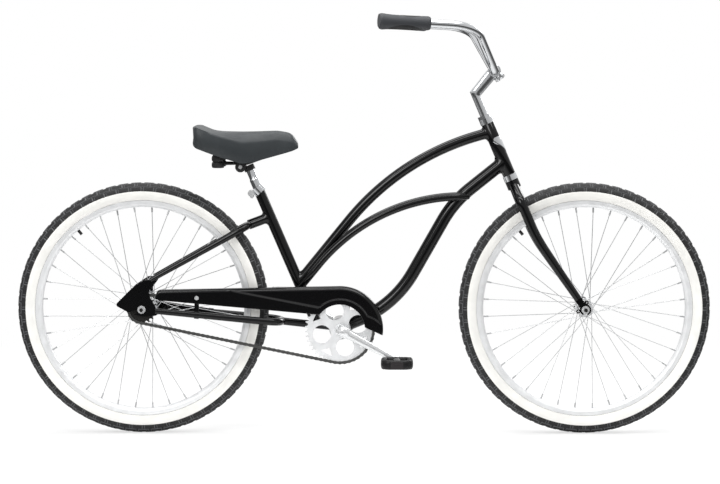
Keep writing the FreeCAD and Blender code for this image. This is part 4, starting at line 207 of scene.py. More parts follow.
# %% [markdown]
# ## Two ways to make a surface
# A bicycle is made of bent tubes and turned parts, so two functions draw almost all of it.
# One carries a ring along a centre line, the other turns a profile about an axis. Both fill
# a grid of points with whole-array formulas, and one more function makes the grid a mesh.


# %% Grid to mesh
def piece(name, grid, body, material, wrap_rows=False, wrap_columns=True, caps=True, sharp_deg=38.0):
    """Mesh of a grid of points in millimetres: each cell is a face, and open ends get a flat cap."""
    rows, columns = grid.shape[:2]
    index = np.arange(rows * columns).reshape(rows, columns)
    a = index if wrap_rows else index[:-1]
    b = np.roll(index, -1, axis=0) if wrap_rows else index[1:]
    if wrap_columns:
        cells = (a, np.roll(a, -1, axis=1), np.roll(b, -1, axis=1), b)
    else:
        cells = (a[:, :-1], a[:, 1:], b[:, 1:], b[:, :-1])
    faces = np.stack(cells, axis=-1).reshape(-1, 4).tolist()
    if caps and not wrap_rows:
        faces += [index[0][::-1].tolist(), index[-1].tolist()]
    mesh = bpy.data.meshes.new(name)
    mesh.from_pydata((grid.reshape(-1, 3) * MM).tolist(), [], faces)
    return finish_mesh(name, mesh, body, material, sharp_deg)


def finish_mesh(name, mesh, body, material, sharp_deg):
    """Turns faces outward, smooths all but sharp edges, and puts the mesh on a body."""
    work = bmesh.new()
    work.from_mesh(mesh)
    bmesh.ops.remove_doubles(work, verts=work.verts, dist=1e-7)
    bmesh.ops.recalc_face_normals(work, faces=work.faces)
    work.to_mesh(mesh)
    work.free()
    mesh.polygons.foreach_set("use_smooth", np.ones(len(mesh.polygons), bool))
    mesh.set_sharp_from_angle(angle=np.radians(sharp_deg))
    mesh.materials.append(material)
    made = placed(name, mesh)
    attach(made, body)
    return made


# %% Centre line of a bent tube
ARC_POINTS = 201


def unit(values):
    """Each vector divided by its own length."""
    values = np.asarray(values, float)
    return values / np.linalg.norm(values, axis=-1, keepdims=True)


def run_along(line):
    """Distance along a line at each of its points: the running sum of its steps."""
    return np.concatenate([[0], np.cumsum(np.linalg.norm(np.diff(line, axis=0), axis=1))])


def bent(points, radii, step=4.0):
    """Straight runs joined by tangent arcs, as evenly spaced points.

    At a corner the arc's centre lies on the bisector at radius / sin(half angle).
    """
    points = [np.asarray(p, float) for p in points]
    line = [points[0][None]]
    for before, at, after, radius in zip(points, points[1:], points[2:], radii):
        back, ahead = unit(before - at), unit(after - at)
        half = np.arccos(np.clip(back @ ahead, -1, 1)) / 2
        inward, along = unit(back + ahead), unit(ahead - back)
        turn = np.linspace(half - np.pi / 2, np.pi / 2 - half, ARC_POINTS)[:, None]
        line.append(at + inward * (radius / np.sin(half)) - radius * np.cos(turn) * inward
                    + radius * np.sin(turn) * along)
    line.append(points[-1][None])
    line = np.concatenate(line)
    place = run_along(line)
    even = np.linspace(0, place[-1], max(int(place[-1] / step), 2) + 1)
    return np.stack([np.interp(even, place, line[:, i]) for i in range(3)], axis=1)


# %% Ring along a centre line
SIDE_AXIS = np.array([0.0, 1.0, 0.0])


def ring_shape(turn, power):
    """Cosine and sine, their size raised to a power: below one squares a round ring off."""
    return [np.sign(w) * np.abs(w) ** power for w in (np.cos(turn), np.sin(turn))]


def carried(line, width, depth, side, sides=40, power=1.0):
    """Rings along a line: width * cosine across the side direction, depth * sine across the other."""
    heading = unit(np.gradient(line, axis=0))
    across = unit(side - heading * (heading @ np.asarray(side, float))[:, None])
    other = np.cross(heading, across)
    turn = np.linspace(0, 2 * np.pi, sides, endpoint=False)
    c, s = ring_shape(turn, power)
    width = np.broadcast_to(width, len(line))[:, None, None]
    depth = np.broadcast_to(depth, len(line))[:, None, None]
    return (line[:, None] + width * c[None, :, None] * across[:, None]
            + depth * s[None, :, None] * other[:, None])


def tube(name, line, radius, side, body, material, sides=40):
    """Round ring carried along a line, with one radius or a radius for each point."""
    return piece(name, carried(line, radius, radius, side, sides), body, material)


def welded(name, line, radius, joints, body, material, bead=8.0):
    """Tube that swells to a weld where it meets round neighbours.

    At a distance d from a neighbour's face the tube is wider by the height of a quarter
    circle of the bead's radius; inside the neighbour the swelling dies away again.
    """
    grid = carried(line, radius, radius, SIDE_AXIS)
    outward = (grid - line[:, None]) * (1, 0, 1) / radius
    swell = 0.0
    for base, axis, neighbour in joints:
        face = np.linalg.norm(np.cross(grid - base, axis), axis=-1) - neighbour
        quarter = bead - np.sqrt(bead ** 2 - (bead - np.clip(face, 0, bead)) ** 2)
        swell = np.maximum(swell, quarter * np.clip(1 + face / bead, 0, 1))
    return piece(name, grid + outward * swell[..., None], body, material)


# %% Profile round an axis
OFF_AXIS = (0.31, 0.17, 0.93)


def turned(name, profile, base, axis, body, material, sides=64, closed=True):
    """A profile of (radius, place along the axis) carried round the axis."""
    profile = np.asarray(profile, float)
    axis = unit(axis)
    first = unit(np.cross(axis, OFF_AXIS))
    second = np.cross(axis, first)
    turn = np.linspace(0, 2 * np.pi, sides, endpoint=False)[None, :, None]
    grid = (np.asarray(base, float) + profile[:, 1, None, None] * axis
            + profile[:, 0, None, None] * (np.cos(turn) * first + np.sin(turn) * second))
    return piece(name, grid, body, material, wrap_rows=closed)


def sleeve(bore, radius, low, high, edge=1.0, rise=1.0):
    """Profile of a plain ring: bore, outer radius and two ends, its outer edges broken."""
    return [(bore, low), (radius - edge, low), (radius, low + rise),
            (radius, high - rise), (radius - edge, high), (bore, high)]


# %% [markdown]
# ## Finishes
# Each finish starts from the real material. Paint is a dark coat with a clear gloss, chrome
# and alloy are metals whose roughness varies a little, rubber and vinyl are rough with a
# fine grain. Patterns are sized from millimetres: noise of scale 1 / size repeats about
# once in that size.

# %% Finish helper
WIDE_GRAIN = 30
GRAIN_RISE = 0.3


def shade(code, factor):
    """Hex colour made darker or lighter by a factor, in linear light."""
    return (*[min(c * factor, 1.0) for c in rgb(code)[:3]], 1.0)


def finish(name, colour, roughness, metallic=0.0, grain=1.0, depth=0.1, spread=0.1, specular=0.5):
    """Principled finish: noise of the grain's size raises a bump, wide noise varies gloss and tint."""
    made = bpy.data.materials.new(name)
    tree = fresh_tree(made)
    place = add(tree, "TexCoord").outputs["Object"]
    fine = add(tree, "TexNoise", {"Vector": place, "Scale": 1 / (grain * MM), "Detail": 3.0})
    wide = add(tree, "TexNoise", {"Vector": place, "Scale": 1 / (grain * WIDE_GRAIN * MM), "Detail": 2.0})
    patch = wide.outputs["Fac"]
    rough = remap(tree, patch, (0.3, 0.7), (roughness - spread / 2, roughness + spread / 2))
    bump = add(tree, "Bump", {"Height": fine.outputs["Fac"], "Strength": depth,
                              "Distance": grain * MM * GRAIN_RISE})
    tint = add(tree, "Mix", {"Factor": patch, "A": shade(colour, 0.88), "B": shade(colour, 1.1)},
               data_type="RGBA")
    shader = add(tree, "BsdfPrincipled", {
        "Base Color": tint.outputs["Result"], "Roughness": rough, "Normal": bump.outputs[0],
        "Metallic": metallic, "Specular IOR Level": specular})
    add(tree, "OutputMaterial", {"Surface": shader.outputs[0]})
    return made


# %% Paint and metals
# Stoved enamel, sprayed and baked: sharp reflections over deep black.
enamel = finish("black_gloss_enamel", "#060607", 0.1, grain=12.0, depth=0.0006, spread=0.03,
                specular=0.32)
# Chrome plate over polished steel: a hard mirror with hardly any tint.
chrome = finish("chrome_plate", "#d2d4d6", 0.09, 1.0, grain=12.0, depth=0.0006, spread=0.03)
# Zinc plating on nuts and bolts: a pale, slightly milky shine.
zinc = finish("zinc_plated_steel", "#d4d5d6", 0.34, 0.7, grain=0.8, depth=0.05)
# Drawn stainless wire: soft bright lines.
spoke_steel = finish("stainless_spoke_wire", "#c0c1c2", 0.35, 0.7, grain=0.8, depth=0.03)
# Satin aluminium under a milky oxide skin: silvery white, no sharp reflections.
alloy = finish("satin_rim_aluminium", "#e6e7e8", 0.45, 0.55, grain=0.7, depth=0.04)
# Forged and polished crank steel: bright, with soft waves.
forged = finish("polished_forged_crank", "#e2e3e4", 0.2, 0.6, grain=6.0, depth=0.003)
# Oiled chain steel: neutral dark grey with small glints.
chain_steel = finish("oiled_chain_steel", "#5a5a59", 0.4, 1.0, grain=0.8, depth=0.05)
# Steel blackened in a hot bath: almost black, with a dull shine.
black_steel = finish("blackened_steel", "#2b2a29", 0.42, 0.8, grain=0.8, depth=0.05)
print("hard finishes ready")

# %% Rubber, vinyl and plastic
# Moulded tyre rubber, black and white: dull, with a faint grain from the mould.
tread_rubber = finish("black_tyre_rubber", "#1d1d1e", 0.72, grain=0.9, depth=0.25)
white_rubber = finish("whitewall_rubber", "#e9e8e4", 0.6, grain=1.2, depth=0.06)
# Two grip rubbers: a soft charcoal one and a coarser, duller black one.
grip_rubber = finish("charcoal_grip_rubber", "#2b2d31", 0.6, grain=0.7, depth=0.3)
insert_rubber = finish("black_grip_insert", "#101113", 0.7, grain=0.9, depth=0.4)
# Embossed vinyl: charcoal, with a leather grain that breaks up its sheen.
vinyl = finish("charcoal_saddle_vinyl", "#24292c", 0.5, grain=1.1, depth=0.25)
# Injection moulded plastics: black, a little glossy from the mould.
moulded = finish("black_moulded_plastic", "#141415", 0.45, grain=0.6, depth=0.15)
pedal_resin = finish("black_pedal_resin", "#050506", 0.42, grain=0.6, depth=0.12, specular=0.28)
# Smoked acrylic over prisms: flat dark grey when no light comes straight back.
smoke_reflector = finish("smoke_grey_reflector", "#272425", 0.35, grain=2.5, depth=0.2,
                         specular=0.28)
# Cast elastomer under the saddle: matt black.
elastomer = finish("black_elastomer", "#131314", 0.6, grain=0.8, depth=0.2)
print("soft finishes ready")

# %% Tread rubber
# Colours along the tread's height: painted shade in the grooves, a painted highlight on the block bevels,
# the rubber's own dark grey on the block tops.
TREAD_PAINTED_LIGHT = ((0.0, "#050505"), (0.55, "#5e5f61"), (0.95, "#161617"))


def tread_with_painted_light():
    """Black rubber coloured by the tread's height: painted shade darkens the grooves, a painted highlight
    lightens the bevels, block tops grey.
    """
    made = finish("black_tread_painted_shade_and_highlight", "#262627", 0.7, grain=0.9, depth=0.2)
    tree = made.node_tree
    height = add(tree, "Attribute", attribute_name="block_height")
    ramp = add(tree, "ValToRGB", {"Fac": height.outputs["Fac"]})
    for place, code in TREAD_PAINTED_LIGHT:
        stop = ramp.color_ramp.elements.new(place)
        stop.color = rgb(code)
    ramp.color_ramp.elements.remove(ramp.color_ramp.elements[-1])
    ramp.color_ramp.elements.remove(ramp.color_ramp.elements[0])
    shader = tree.nodes["Principled BSDF"]
    tree.links.new(ramp.outputs["Color"], shader.inputs["Base Color"])
    return made


tread_blocks = tread_with_painted_light()
print("tread shades:", len(TREAD_PAINTED_LIGHT))

# %% Finish of each solid
NODE_FINISH = {
    enamel: ("head_tube", "top_tube", "down_tube", "side_tubes", "seat_tube", "bracket_shell",
             "stay_bridges", "chainstay_loop", "seatstay_loop", "rear_dropouts", "fork_crown",
             "fork_blades", "fork_ends", "fork_eyelets", "chain_guard", "guard_brackets", "brake_arm"),
    chrome: ("stem", "handlebar", "seat_post", "seat_collar", "headset_cups", "headset_races",
             "head_badge"),
    forged: ("crank", "crank_cones", "pedal_axles"),
    zinc: ("frame_bearings", "bracket_cups", "frame_screws", "front_axle_nuts", "rear_axle_nuts",
           "stem_bolt", "saddle_clamp_bolt"),
    spoke_steel: ("front_spokes", "rear_spokes"),
    alloy: ("front_rim", "rear_rim", "front_hub", "rear_hub", "chainring"),
    chain_steel: ("drive_chain",),
    black_steel: ("rear_sprocket", "front_axle", "rear_axle"),
    tread_rubber: ("front_tyre", "rear_tyre"),
    white_rubber: ("front_whitewalls", "rear_whitewalls"),
    grip_rubber: ("grips",),
    vinyl: ("saddle_cover",),
    elastomer: ("saddle_bumpers", "front_inner_tube", "rear_inner_tube"),
    moulded: ("pedal_right", "pedal_left", "saddle_base", "saddle_clamp", "saddle_rails"),
}
for material, names in NODE_FINISH.items():
    for node_name in names:
        mesh = frame["nodes"][node_name].data
        mesh.materials.clear()
        mesh.materials.append(material)
print("finishes:", len(NODE_FINISH))

# %% [markdown]
# ## Places on the frame
# The steering axis and the seat tube are two leaning lines. Everything on them is given by a
# length along the line, so the same few values place the tubes, fork, stem and post.


# %% Axes
def polar(radius, angle_deg):
    """Point at a radius and an angle above the forward direction: cosine ahead, sine up."""
    angle = np.radians(angle_deg)
    return np.stack([radius * np.cos(angle), np.zeros_like(angle), radius * np.sin(angle)], axis=-1)


HEAD_ANGLE, SEAT_ANGLE, FORK_OFFSET = 67.05, 66.7, 46.0
REAR_HUB = np.array([-584.0, 0.0, 332.5])
FRONT_HUB = np.array([584.0, 0.0, 332.5])
CRANK_AXLE = np.array([-62.22, 0.0, 280.0])
STEER_UP = polar(1.0, 180 - HEAD_ANGLE)
STEER_AHEAD = polar(1.0, 90 - HEAD_ANGLE)
STEER_FOOT = FRONT_HUB - STEER_AHEAD * FORK_OFFSET
STAY_APEX = np.array([-218.0, 0.0, 297.0])
SEATSTAY_APEX = REAR_HUB + polar(356.0, 38.2)
SEAT_UP = polar(1.0, 180 - SEAT_ANGLE)
SEAT_AHEAD = polar(1.0, 90 - SEAT_ANGLE)
SEAT_FOOT = CRANK_AXLE + (STAY_APEX - CRANK_AXLE) * 0.39
print("wheelbase", FRONT_HUB[0] - REAR_HUB[0], "mm")

# %% Places along the axes
HEAD_LOW, HEAD_HIGH = 403.0, 550.0
SEAT_TUBE_LENGTH = 391.5
STEER_TOP, KNEE_PLACE = 573.8, 635.0
BAR_CLAMP = STEER_FOOT + STEER_UP * KNEE_PLACE + (50.0, 0.0, 61.0)
BOTH = (("right", -1), ("left", 1))


def steer(along, side=0.0):
    """Point at a length up the steering axis and a distance to its left."""
    return STEER_FOOT + STEER_UP * along + SIDE_AXIS * side


def seat(along):
    """Point at a length up the seat tube."""
    return SEAT_FOOT + SEAT_UP * along


def off_chord(start, end, along, aside):
    """Points beside a chord, as shares of its length."""
    run = end - start
    out = np.array([run[2], 0.0, -run[0]])
    return [start + run * a + out * b for a, b in zip(along, aside)]


print("bar clamp at", BAR_CLAMP.round(1))

# %% [markdown]
# ## Frame tubes
# The real tubes are bent on a former, so each is straight runs and round arcs with one
# radius. Drawn again with forty sides and smooth normals they mirror the lamps in one clean
# line, which the coarse solids can't. Where two tubes meet, a weld fills the corner.

# %% Top tube and down tube
HEAD_RADIUS, SEAT_RADIUS, SHELL_RADIUS = 17.0, 14.3, 28.5
TOP_RADIUS, DOWN_RADIUS, WELD_STEP = 14.0, 17.5, 1.5
HEAD_JOINT = STEER_FOOT, STEER_UP, HEAD_RADIUS
SEAT_JOINT = SEAT_FOOT, SEAT_UP, SEAT_RADIUS
SHELL_JOINT = CRANK_AXLE, SIDE_AXIS, SHELL_RADIUS
top_ends = steer(525.0), seat(123.3)
top_corner = off_chord(*top_ends, (0.345,), (0.1495,))
top_line = bent([top_ends[0], *top_corner, top_ends[1]], (680.0,), WELD_STEP)
top_tube = welded("top_tube_smooth", top_line, TOP_RADIUS, (HEAD_JOINT, SEAT_JOINT), "frame", enamel)
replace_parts(top_tube, "top_tube")
down_start = steer(439.75)
down_corners = off_chord(down_start, CRANK_AXLE, (0.2744, 0.767), (0.0329, -0.0985))
down_line = bent([down_start, *down_corners, CRANK_AXLE], (300.0, 290.0), WELD_STEP)
down_tube = welded("down_tube_smooth", down_line, DOWN_RADIUS, (HEAD_JOINT, SHELL_JOINT), "frame", enamel)
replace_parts(down_tube, "down_tube")
print("rings:", len(top_line), "and", len(down_line))

# %% Side tubes
SIDE_RADIUS, SIDE_SPREAD = 10.0, 23.0
SPREAD_SHARES = np.array((0.17, 1.0, 1.0, 1.0, 0.26))
side_route = off_chord(down_corners[0], seat(109.6), (-0.0913, -0.025, 0.419, 0.91, 1.01),
                       (-0.0092, 0.0234, 0.2327, 0.0384, -0.0015))
for word, way in BOTH:
    spread = SPREAD_SHARES * SIDE_SPREAD * way
    line = bent([p + SIDE_AXIS * y for p, y in zip(side_route, spread)], (60.0, 490.0, 60.0))
    made = tube("side_tube_" + word, line, SIDE_RADIUS, SIDE_AXIS + STEER_AHEAD * 0.01, "frame", enamel)
    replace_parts(made, "side_tubes")
print("side tubes", 2 * SIDE_SPREAD, "mm apart")

# %% Seat tube and head tube
seat_line = bent([seat(0), seat(SEAT_TUBE_LENGTH)], ())
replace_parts(tube("seat_tube_smooth", seat_line, SEAT_RADIUS, SIDE_AXIS, "frame", enamel), "seat_tube")
head_profile = sleeve(15.0, HEAD_RADIUS, HEAD_LOW, HEAD_HIGH, 0.6, 0.8)
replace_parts(turned("head_tube_smooth", head_profile, STEER_FOOT, STEER_UP, "frame", enamel), "head_tube")
print("head tube", HEAD_HIGH - HEAD_LOW, "mm long")

# %% [markdown]
# ## Head badge
# The badge is a thin plated shield wrapped round the front of the head tube. The half turn
# it reaches at each height draws its outline.

# %% Head badge
BADGE_ROWS, BADGE_COLUMNS = 40, 41
BADGE_RADIUS, BADGE_RISE = 17.1, 0.9
BADGE_PLACES = (461, 472, 484, 494, 500, 505, 509)
BADGE_HALF_TURNS = (4, 30, 62, 100, 112, 104, 84)
badge_along = np.linspace(BADGE_PLACES[0], BADGE_PLACES[-1], BADGE_ROWS)
badge_half = np.radians(np.interp(badge_along, BADGE_PLACES, BADGE_HALF_TURNS))
badge_across = np.linspace(-1, 1, BADGE_COLUMNS)
badge_up = np.linspace(0, 1, BADGE_ROWS)
badge_turn = badge_half[:, None] * badge_across[None]
soft_sides = np.minimum(1, 6 * (1 - np.abs(badge_across)))[None]
soft_ends = np.minimum(1, 5 * np.minimum(badge_up, badge_up[::-1]))[:, None]
badge_out = (BADGE_RADIUS + BADGE_RISE * (soft_sides * soft_ends))[..., None]
badge_way = np.cos(badge_turn)[..., None] * STEER_AHEAD + np.sin(badge_turn)[..., None] * SIDE_AXIS
badge_grid = STEER_FOOT + badge_along[:, None, None] * STEER_UP + badge_out * badge_way
badge = piece("head_badge_shield", badge_grid, "frame", chrome, wrap_columns=False, caps=False)
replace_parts(badge, "head_badge")
print("badge", BADGE_PLACES[-1] - BADGE_PLACES[0], "mm high")

# %% Bracket shell
shell_profile = sleeve(25.7, SHELL_RADIUS, -34.0, 34.0, 0.6, 0.7)
bracket_shell = turned("bracket_shell_smooth", shell_profile, CRANK_AXLE, SIDE_AXIS, "frame", enamel)
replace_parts(bracket_shell, "bracket_shell")
print("shell", 2 * SHELL_RADIUS, "mm across")

# %% [markdown]
# ## Rear stays
# Each pair of stays is one tube bent round in front of the wheel, so two legs and the bend
# between them are a single line. A short bridge tube ties each loop to the frame.

# %% Rear stays
DROPOUT_HALF = 57.5
LOW_BRIDGE, HIGH_BRIDGE, BRIDGE_PLACE = 10.0, 13.0, 313.2


def stay_loop(name, apex, spread, end, bend_radius, radii, node):
    """A tube bent round in front of the wheel whose two legs taper to the dropouts."""
    corners = [apex + SIDE_AXIS * (way * spread) for _, way in BOTH]
    ends = [REAR_HUB + (end[0], way * DROPOUT_HALF, end[1]) for _, way in BOTH]
    line = bent([ends[0], corners[0], corners[1], ends[1]], (bend_radius, bend_radius))
    leg = np.linalg.norm(corners[0] - ends[0]) - bend_radius - radii[0]
    place = run_along(line)
    from_end = np.minimum(place, place[-1] - place)
    radius = np.interp(from_end, (0, leg), (radii[1], radii[0]))
    up = unit(np.cross(corners[0] - ends[0], SIDE_AXIS))
    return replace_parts(tube(name, line, radius, up, "frame", enamel), node)


stay_loop("chainstays_smooth", STAY_APEX, 46.0, (36.0, -4.0), 36.0, (10.0, 7.5), "chainstay_loop")
stay_loop("seatstays_smooth", SEATSTAY_APEX, 42.0, (24.0, 78.0), 33.0, (9.5, 6.5), "seatstay_loop")
low_line = bent([CRANK_AXLE, STAY_APEX], ())
low_bridge = tube("chainstay_bridge", low_line, LOW_BRIDGE, SIDE_AXIS, "frame", enamel)
high_line = bent([seat(BRIDGE_PLACE), SEATSTAY_APEX], (), WELD_STEP)
high_bridge = welded("seatstay_bridge", high_line, HIGH_BRIDGE, (SEAT_JOINT,), "frame", enamel)
for made in (low_bridge, high_bridge):
    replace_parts(made, "stay_bridges")
print("frame tubes drawn")

# %% [markdown]
# ## Fork
# Each blade leaves the crown sideways, drops beside the tyre and then rakes forward to the
# axle, getting slimmer on the way.

# %% Fork blades and crown
CROWN_TOP = 387.7
CROWN_LOW = CROWN_TOP - 24.0
BLADE_BEND, BLADE_HALF, BLADE_TIP = 223.0, 52.5, 34.0
STEERER_BORE, STEERER_RADIUS = 11.15, 12.7
for word, way in BOTH:
    out = way * BLADE_HALF
    hub = FRONT_HUB + SIDE_AXIS * out
    knee = steer(BLADE_BEND, out)
    tip = hub + unit(knee - hub) * BLADE_TIP
    line = bent([steer(375.7), steer(331.7, out), knee, tip], (34.0, 380.0))
    drop_left = np.linalg.norm(line - tip, axis=1)
    radius = np.interp(drop_left, (0, 0.75 * np.linalg.norm(knee - hub)), (10.0, 13.0))
    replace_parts(tube("fork_blade_" + word, line, radius, STEER_AHEAD, "fork", enamel), "fork_blades")
crown_profile = [(0.1, CROWN_LOW), (16.0, CROWN_LOW), (18.0, CROWN_LOW + 2.0), (18.0, CROWN_TOP - 1.5),
                 (16.5, CROWN_TOP), (STEERER_RADIUS, CROWN_TOP), (STEERER_RADIUS, STEER_TOP),
                 (STEERER_BORE, STEER_TOP), (STEERER_BORE, CROWN_TOP), (0.1, CROWN_TOP)]
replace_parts(turned("fork_crown_smooth", crown_profile, STEER_FOOT, STEER_UP, "fork", enamel), "fork_crown")
print("fork drawn")

# %% [markdown]
# ## Stem
# The stem is a forging: a round quill, a sharp knee and a deeper arm with a split clamp. Its
# rings are stretched between a back edge and a front edge, so the knee stays a clean mitre.

# %% Stem edges
QUILL, QUILL_DEPTH = 11.1, 70.0
QUILL_RINGS, ARM_RINGS, ARM_SKIP, STEM_SIDES = 40, 30, 4, 48
ARM_KNEE, ARM_CLAMP = 14.0, 15.5
STEM_KNEE = steer(KNEE_PLACE)
arm_way = unit(BAR_CLAMP - STEM_KNEE)
arm_side = np.array([-arm_way[2], 0.0, arm_way[0]])
arm_length = np.linalg.norm(BAR_CLAMP - STEM_KNEE)


def mitre(half_width):
    """Place up the quill where its edge meets the arm's edge, for the outer corner."""
    return (half_width + QUILL * (STEER_AHEAD @ arm_side)) / (STEER_UP @ arm_side)


def stem_edge(side):
    """One edge of quill, mitre and arm: side is 1 for the back edge and -1 for the front."""
    edge_out = side * QUILL * STEER_AHEAD
    return np.concatenate([STEM_KNEE + up_quill * STEER_UP - edge_out,
                           [STEM_KNEE + side * knee_rise * STEER_UP - edge_out],
                           (STEM_KNEE + along_arm * arm_way + side * grow * arm_side)[ARM_SKIP:]])


knee_rise = mitre(ARM_KNEE)
up_quill = np.linspace(STEER_TOP - QUILL_DEPTH - KNEE_PLACE, -knee_rise - 2.0, QUILL_RINGS)[:, None]
along_arm = np.linspace(0.0, arm_length - 6.0, ARM_RINGS)[:, None]
grow = np.interp(along_arm, (0, arm_length), (ARM_KNEE, ARM_CLAMP))
back_edge, front_edge = stem_edge(1), stem_edge(-1)
print("arm", round(arm_length, 1), "mm long")

# %% Stem
EAR_RINGS, EAR_GAP = 12, 5.5
EAR_WAY = polar(1.0, -52.0)
EAR_SIDE = polar(1.0, 38.0)
boxy = np.concatenate([np.ones(QUILL_RINGS), [0.85], np.full(ARM_RINGS - ARM_SKIP, 0.7)])[:, None, None]
turn = np.linspace(0, 2 * np.pi, STEM_SIDES, endpoint=False)[None, :, None]
wide, deep = ring_shape(turn, boxy)
stem_grid = ((back_edge + front_edge)[:, None] / 2 + (back_edge - front_edge)[:, None] / 2 * wide
             + QUILL * deep * SIDE_AXIS)
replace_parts(piece("stem_neck", stem_grid, "stem", chrome), "stem")
clamp_profile = sleeve(12.75, 17.0, -19.0, 19.0)
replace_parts(turned("stem_clamp", clamp_profile, BAR_CLAMP, SIDE_AXIS, "stem", chrome), "stem")
ear_width = np.interp(np.arange(EAR_RINGS), (0, 7, 11), (9.0, 9.0, 5.5))
for word, way in (("upper", 1), ("lower", -1)):
    near, far = (BAR_CLAMP + EAR_WAY * reach + EAR_SIDE * (way * EAR_GAP) for reach in (14.0, 30.0))
    ear = carried(np.linspace(near, far, EAR_RINGS), ear_width, 4.2, SIDE_AXIS, 32, 0.45)
    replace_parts(piece("stem_ear_" + word, ear, "stem", chrome), "stem")
print("stem drawn")

# %% [markdown]
# ## Handlebar and grips
# The bar is one tube that rises, bends back and ends in two-colour rubber grips. A grip's
# radius is a curve along its length, and an insert is a lens-shaped patch just above it.

# %% Handlebar
BAR_ROUTE = ((0, -42.0, 0), (-58.0, -283.0, 116.0), (-300.0, -340.0, 129.0))
bar_right = [BAR_CLAMP + p for p in BAR_ROUTE]
bar_left = [p * (1, -1, 1) for p in bar_right]
bar_line = bent([*bar_left[::-1], *bar_right], (105.0, 62.0, 62.0, 105.0))
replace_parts(tube("bar_smooth", bar_line, 11.1, (0, 0, 1), "handlebar", chrome, 48), "handlebar")
bar_sleeve = sleeve(10.9, 12.7, -21.0, 21.0, 0.5, 0.5)
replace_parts(turned("bar_sleeve", bar_sleeve, BAR_CLAMP, SIDE_AXIS, "handlebar", chrome), "handlebar")
print("bar rings:", len(bar_line))

# %% Grip profile
GRIP_LENGTH, GRIP_END, GRIP_BORE, GRIP_ROWS = 132.0, -3.2, 11.15, 90
grip_along = (0.0, 0.012, 0.03, 0.07, 0.14, 0.25, 0.4, 0.7, 0.93, 0.97, 0.985, 1.0)
grip_radius = (16.5, 18.6, 19.3, 19.3, 18.2, 17.2, 16.8, 17.0, 17.9, 17.9, 17.2, 15.5)
fine_along = np.linspace(0, 1, GRIP_ROWS)
raw_radius = np.interp(fine_along, grip_along, grip_radius)
fine_radius = np.convolve(np.pad(raw_radius, 2, "edge"), np.ones(5) / 5, "valid")
grip_profile = np.stack([fine_radius, fine_along * GRIP_LENGTH + GRIP_END], axis=1)
grip_profile = np.concatenate([[(0.1, GRIP_END)], grip_profile, [
    (GRIP_BORE, GRIP_LENGTH + GRIP_END), (GRIP_BORE, -0.1), (0.1, -0.1)]])
print("grip", GRIP_LENGTH, "mm long")

# %% Grips and inserts
INSERT_RISE, INSERT_SUNK = 0.45, 0.15
INSERTS = (("under", 0.17, 0.86, 1.15, -1), ("over", 0.4, 0.82, 0.75, 1))
u = np.linspace(0, 1, 50)
v = np.linspace(-1, 1, 25)[None]
lens_shape = np.maximum(np.sin(np.pi * u), 0.02) ** 0.55
bulge = INSERT_RISE * (1 - v ** 8) * np.minimum(1, 12 * np.minimum(u, 1 - u))[:, None]
for (word, _), end, before in zip(BOTH, (bar_right[2], bar_left[2]), (bar_right[1], bar_left[1])):
    made = turned("grip_" + word, grip_profile, end, before - end, "handlebar", grip_rubber, 72)
    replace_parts(made, "grips")
    inward = unit(before - end)
    lift = unit(np.array([0, 0, 1.0]) - inward * inward[2])
    aside = np.cross(inward, lift)
    for place, start, finish_at, half_turn, up in INSERTS:
        turn = (half_turn * lens_shape)[:, None] * v
        along = start + (finish_at - start) * u
        radius = (np.interp(along, fine_along, fine_radius)[:, None] - INSERT_SUNK + bulge)[..., None]
        out = np.cos(turn)[..., None] * lift * up + np.sin(turn)[..., None] * aside
        patch = end + inward * (along * GRIP_LENGTH + GRIP_END)[:, None, None] + radius * out
        piece("grip_insert_" + place + "_" + word, patch, "handlebar", insert_rubber,
              wrap_columns=False, caps=False)
print("bar and grips drawn")

# %% [markdown]
# ## Wheels
# The tyre's tread is a ring of blocks. One formula gives the height of the rubber at a place
# round the wheel and across the tread: full height inside a block, less in the grooves.
# Rows are staggered by half a block, as bricks are. The white sidewall and the rim are
# turned profiles.

# %% Tread pattern
TREAD_BLOCKS = 60
TREAD_AROUND = TREAD_BLOCKS * 14
TREAD_ACROSS = 61
GROOVE_SHARE = 0.13
ROW_EDGES = np.array((0.0, 0.2, 0.4, 0.6, 0.8, 1.0))
ROW_WIDTH = 0.2


def tread_height(around, across):
    """1 on a block and 0 in a groove: rows of blocks across, each row turned half a block."""
    row = np.clip(np.digitize(across, ROW_EDGES) - 1, 0, len(ROW_EDGES) - 2)
    in_row = (across - ROW_EDGES[row]) / ROW_WIDTH
    in_block = (around * TREAD_BLOCKS + 0.5 * (row % 2)) % 1.0
    gap_row = np.minimum(in_row, 1 - in_row) / (GROOVE_SHARE * 0.9)
    gap_block = np.minimum(in_block, 1 - in_block) / GROOVE_SHARE
    outer = (across < 0.04) | (across > 0.96)
    gap_row = np.where(outer, 2.0, gap_row)
    return np.clip(np.minimum(gap_row, gap_block) * 2.0 - 0.9, 0, 1)


around = np.linspace(0, 1, TREAD_AROUND, endpoint=False)[:, None]
across = np.linspace(0, 1, TREAD_ACROSS)[None]
rubber = tread_height(*np.broadcast_arrays(around, across))
print("blocks:", TREAD_BLOCKS)

